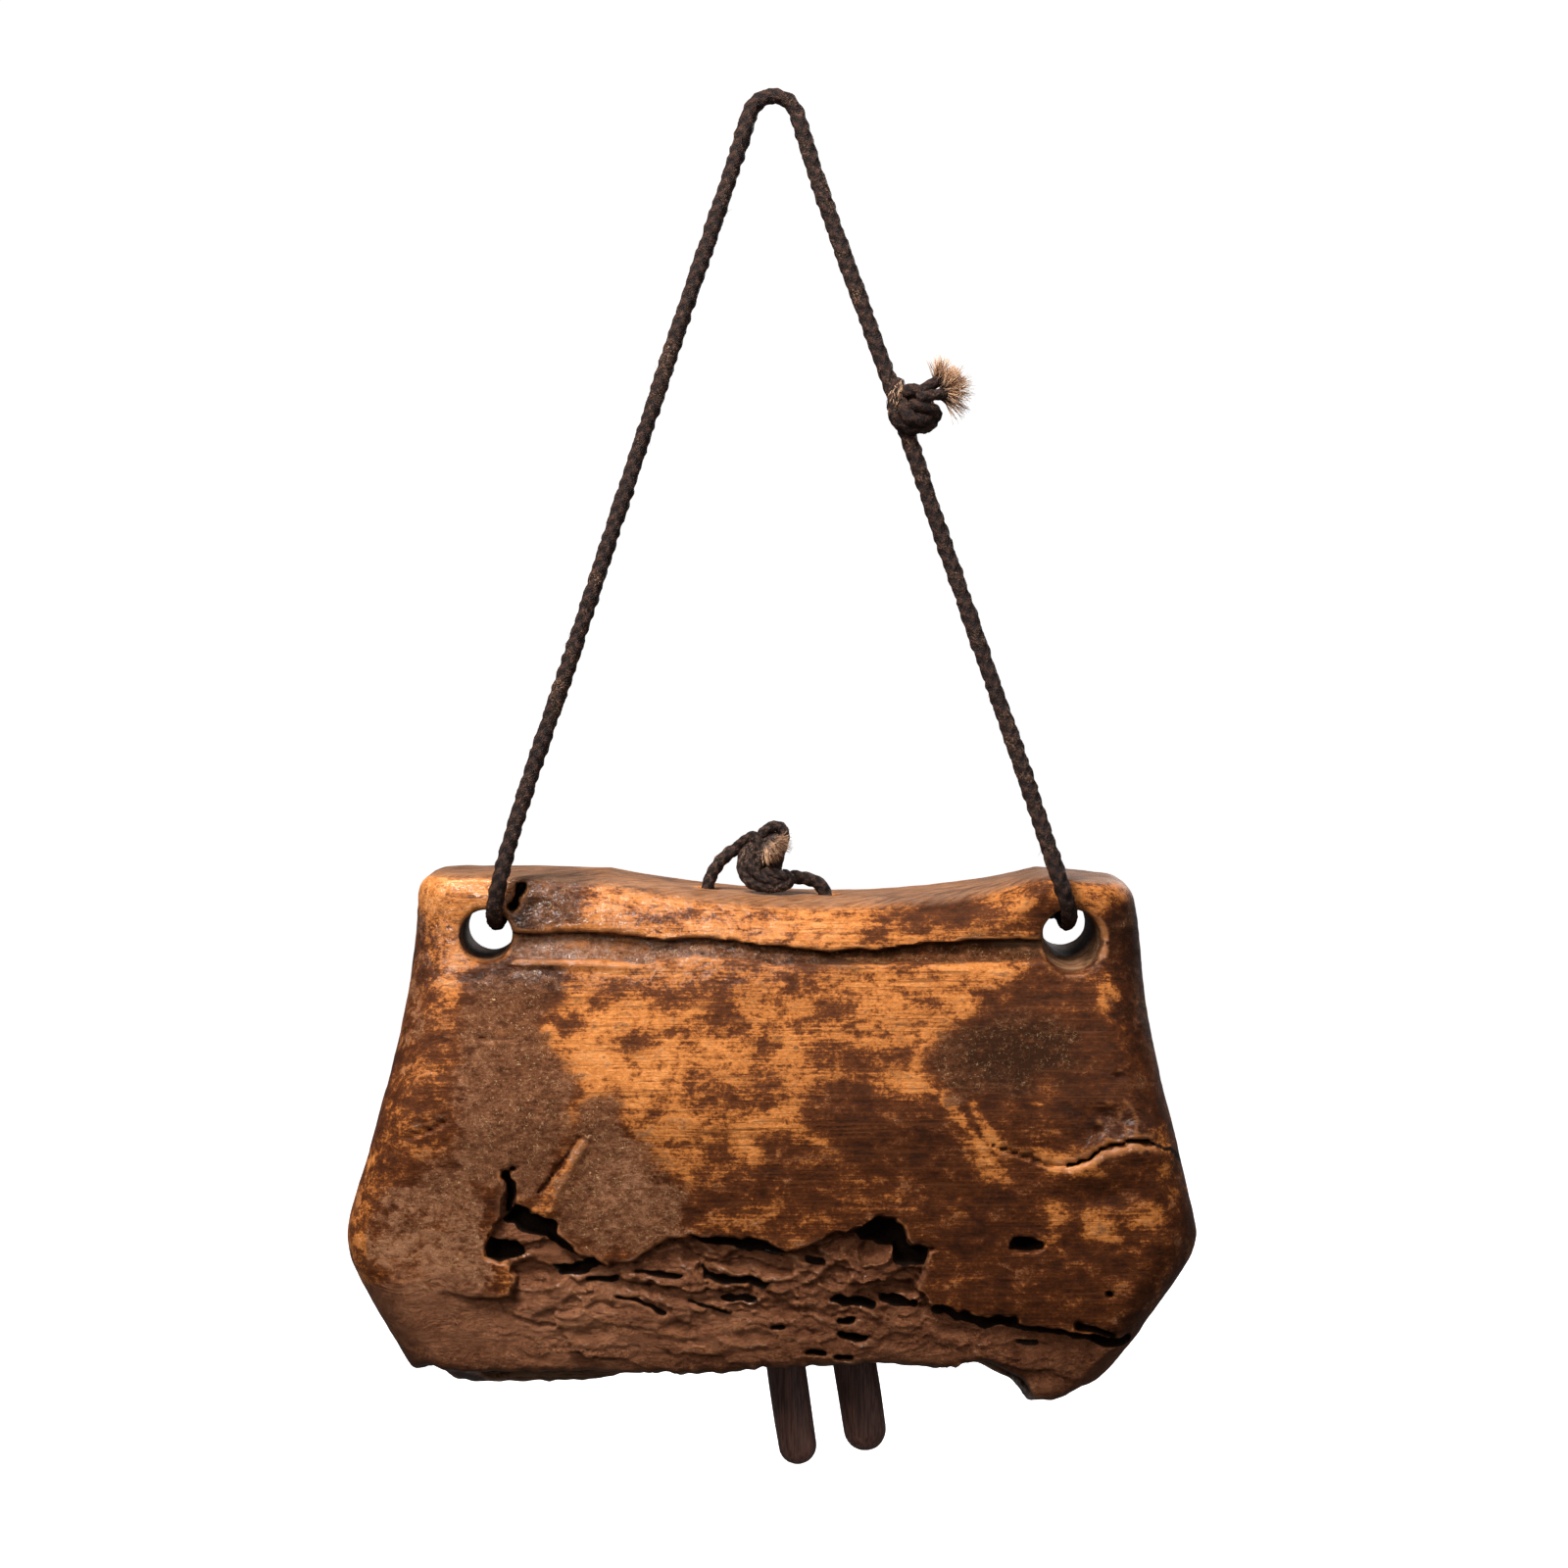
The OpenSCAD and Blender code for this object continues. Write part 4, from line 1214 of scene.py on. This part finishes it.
def clapper_wood():
    """Dark brown whittled stick with fine lines along its length."""
    m = Material("clapper_wood", Specular_IOR_Level=0.3)
    grain = m.noise((1300, 1300, 45), 5, 0.65, 0.4)
    tone = m.noise((60, 60, 22), 4)
    colour = m.blend(m.remap(grain, 0.3, 0.7), (0.038, 0.016, 0.012), (0.18, 0.080, 0.058))
    colour = m.blend(m.remap(tone, 0.5, 0.75, 0.0, 0.5), colour, (0.17, 0.085, 0.060))
    normal = m.bump(grain, 0.0006, 0.6)
    return m.finish(colour, m.remap(tone, 0.3, 0.7, 0.42, 0.62), normal)


EYE_HEIGHT = -331.0
EYE_RADIUS = 5.0
HEAD_RADIUS = 8.3
HEAD_THICK = 9.0
CLAPPER_TILT = math.radians(9.2)


def make_clapper(name, eye_x, length, diameter, material, seed):
    """A round-ended stick that leans to one side, whittled flat round the eye in its head."""
    r = diameter / 2
    tip_x = eye_x + (length - r) * math.sin(CLAPPER_TILT)
    tip_z = EYE_HEIGHT - (length - r) * math.cos(CLAPPER_TILT)
    axes, x, y, z = grid((eye_x - 12, -12, tip_z - r - 3), (tip_x + r + 3, 12, EYE_HEIGHT + 12), 0.9)
    wander = 0.9 * np.sin((z - EYE_HEIGHT) / 31 + seed)
    top = (eye_x + 8 * math.sin(CLAPPER_TILT), 0, EYE_HEIGHT - 8)
    stick = capsule(x + wander * 0.5, y + wander * 0.35, z, top, (tip_x, 0, tip_z), r - 0.35)
    stick = stick + 0.7 * step(z, EYE_HEIGHT - 70, EYE_HEIGHT - 10)
    from_eye = np.sqrt(y**2 + (z - EYE_HEIGHT) ** 2)
    head = np.maximum(from_eye - HEAD_RADIUS, np.abs(x - eye_x) - HEAD_THICK / 2)
    whittled = np.abs(x - eye_x) - HEAD_THICK / 2 - 0.28 * np.maximum(EYE_HEIGHT - 7 - z, 0)
    body = -smooth_max(-smooth_max(stick, whittled, 2), -head, 4)
    eye = from_eye - EYE_RADIUS + 0 * x
    field = smooth_max(body, -eye, 1.2)
    points, quads = surface_of(field.astype(np.float32), axes)
    normals = normals_of(points, quads)
    facets = 0.25 * noise(points, (6, 6, 26), 101 + seed) + 0.12 * noise(points, (2.2, 2.2, 14), 103 + seed)
    points = points + normals * facets[:, None]
    points[:, 2] = np.maximum(points[:, 2], cad_low[2] / MM + 0.1)
    piece = make_object(name + "_stick", points, quads.tolist(), material)
    return place(piece, name, "clapper_wood", "clapper_" + name.split("_")[0])


stick_wood = clapper_wood()
make_clapper("left_clapper", -14.5, 154, 14.4, stick_wood, 1)
make_clapper("right_clapper", 10, 149, 16, stick_wood, 2)


# ---------------------------------------------------------------- floor and light


def make_stage():
    """A pale floor that curves up into a wall all round, so that every view has it behind the bell."""
    m = Material("backdrop", Emission_Color=(1, 1, 1, 1), Emission_Strength=0.85)
    paper = m.noise((30, 30, 30), 2)
    colour = m.blend(paper, (0.90, 0.90, 0.90), (0.93, 0.93, 0.93))
    backdrop = m.finish(colour, m.remap(paper, 0.0, 1.0, 0.88, 0.92), m.bump(paper, 0.0001, 0.1))
    floor, wall, curve, sides = -620, 5000, 1500, 96
    line = [(800 * k, floor) for k in range(1, 5)]
    line += [
        (wall - curve + curve * math.sin(a), floor + curve - curve * math.cos(a))
        for a in np.linspace(0.1, math.pi / 2, 24)
    ] + [(wall, 5000)]
    turns = np.arange(sides) * 2 * math.pi / sides
    points = [(0, 0, floor)] + [(r * math.cos(a), r * math.sin(a), z) for r, z in line for a in turns]
    ahead = [(k + 1) % sides for k in range(sides)]
    faces = [(0, 1 + k, 1 + ahead[k]) for k in range(sides)]
    for ring in range(len(line) - 1):
        near, far = 1 + ring * sides, 1 + (ring + 1) * sides
        faces += [(near + k, far + k, far + ahead[k], near + ahead[k]) for k in range(sides)]
    sheet = make_object("backdrop", np.array(points, float), faces, backdrop)
    sheet.visible_glossy = False
    sheet.visible_diffuse = False


def make_light(name, place, aim, size, power, colour=(1, 1, 1)):
    data = bpy.data.lights.new(name, "AREA")
    data.shape = "RECTANGLE"
    data.size, data.size_y = size
    data.energy = power
    data.color = colour
    light = bpy.data.objects.new(name, data)
    light.location = place
    way = np.array(aim, float) - np.array(place, float)
    light.rotation_euler = (
        math.acos(-way[2] / np.linalg.norm(way)),
        0,
        math.atan2(way[1], way[0]) - math.pi / 2,
    )
    bpy.context.scene.collection.objects.link(light)


def light_scene():
    world = bpy.data.worlds.new("studio")
    world.use_nodes = True
    world.node_tree.nodes["Background"].inputs["Color"].default_value = (1, 1, 1, 1)
    world.node_tree.nodes["Background"].inputs["Strength"].default_value = 0.14
    bpy.context.scene.world = world
    bpy.context.scene.view_settings.view_transform = "Standard"
    middle = (0, 0, -0.33)
    make_light("key", (-0.42, -0.5, 0.72), middle, (0.35, 0.35), 30)
    make_light("left_fill", (-0.75, -1.15, 0.35), middle, (0.4, 0.5), 10)
    make_light("right_fill", (1.2, -0.9, 0.0), middle, (0.5, 0.9), 5)
    make_light("back_fill", (0.7, 1.4, 0.3), middle, (0.8, 0.8), 7)
    make_light("top", (0.0, -0.1, 0.8), middle, (0.7, 0.25), 5)


make_stage()
light_scene()
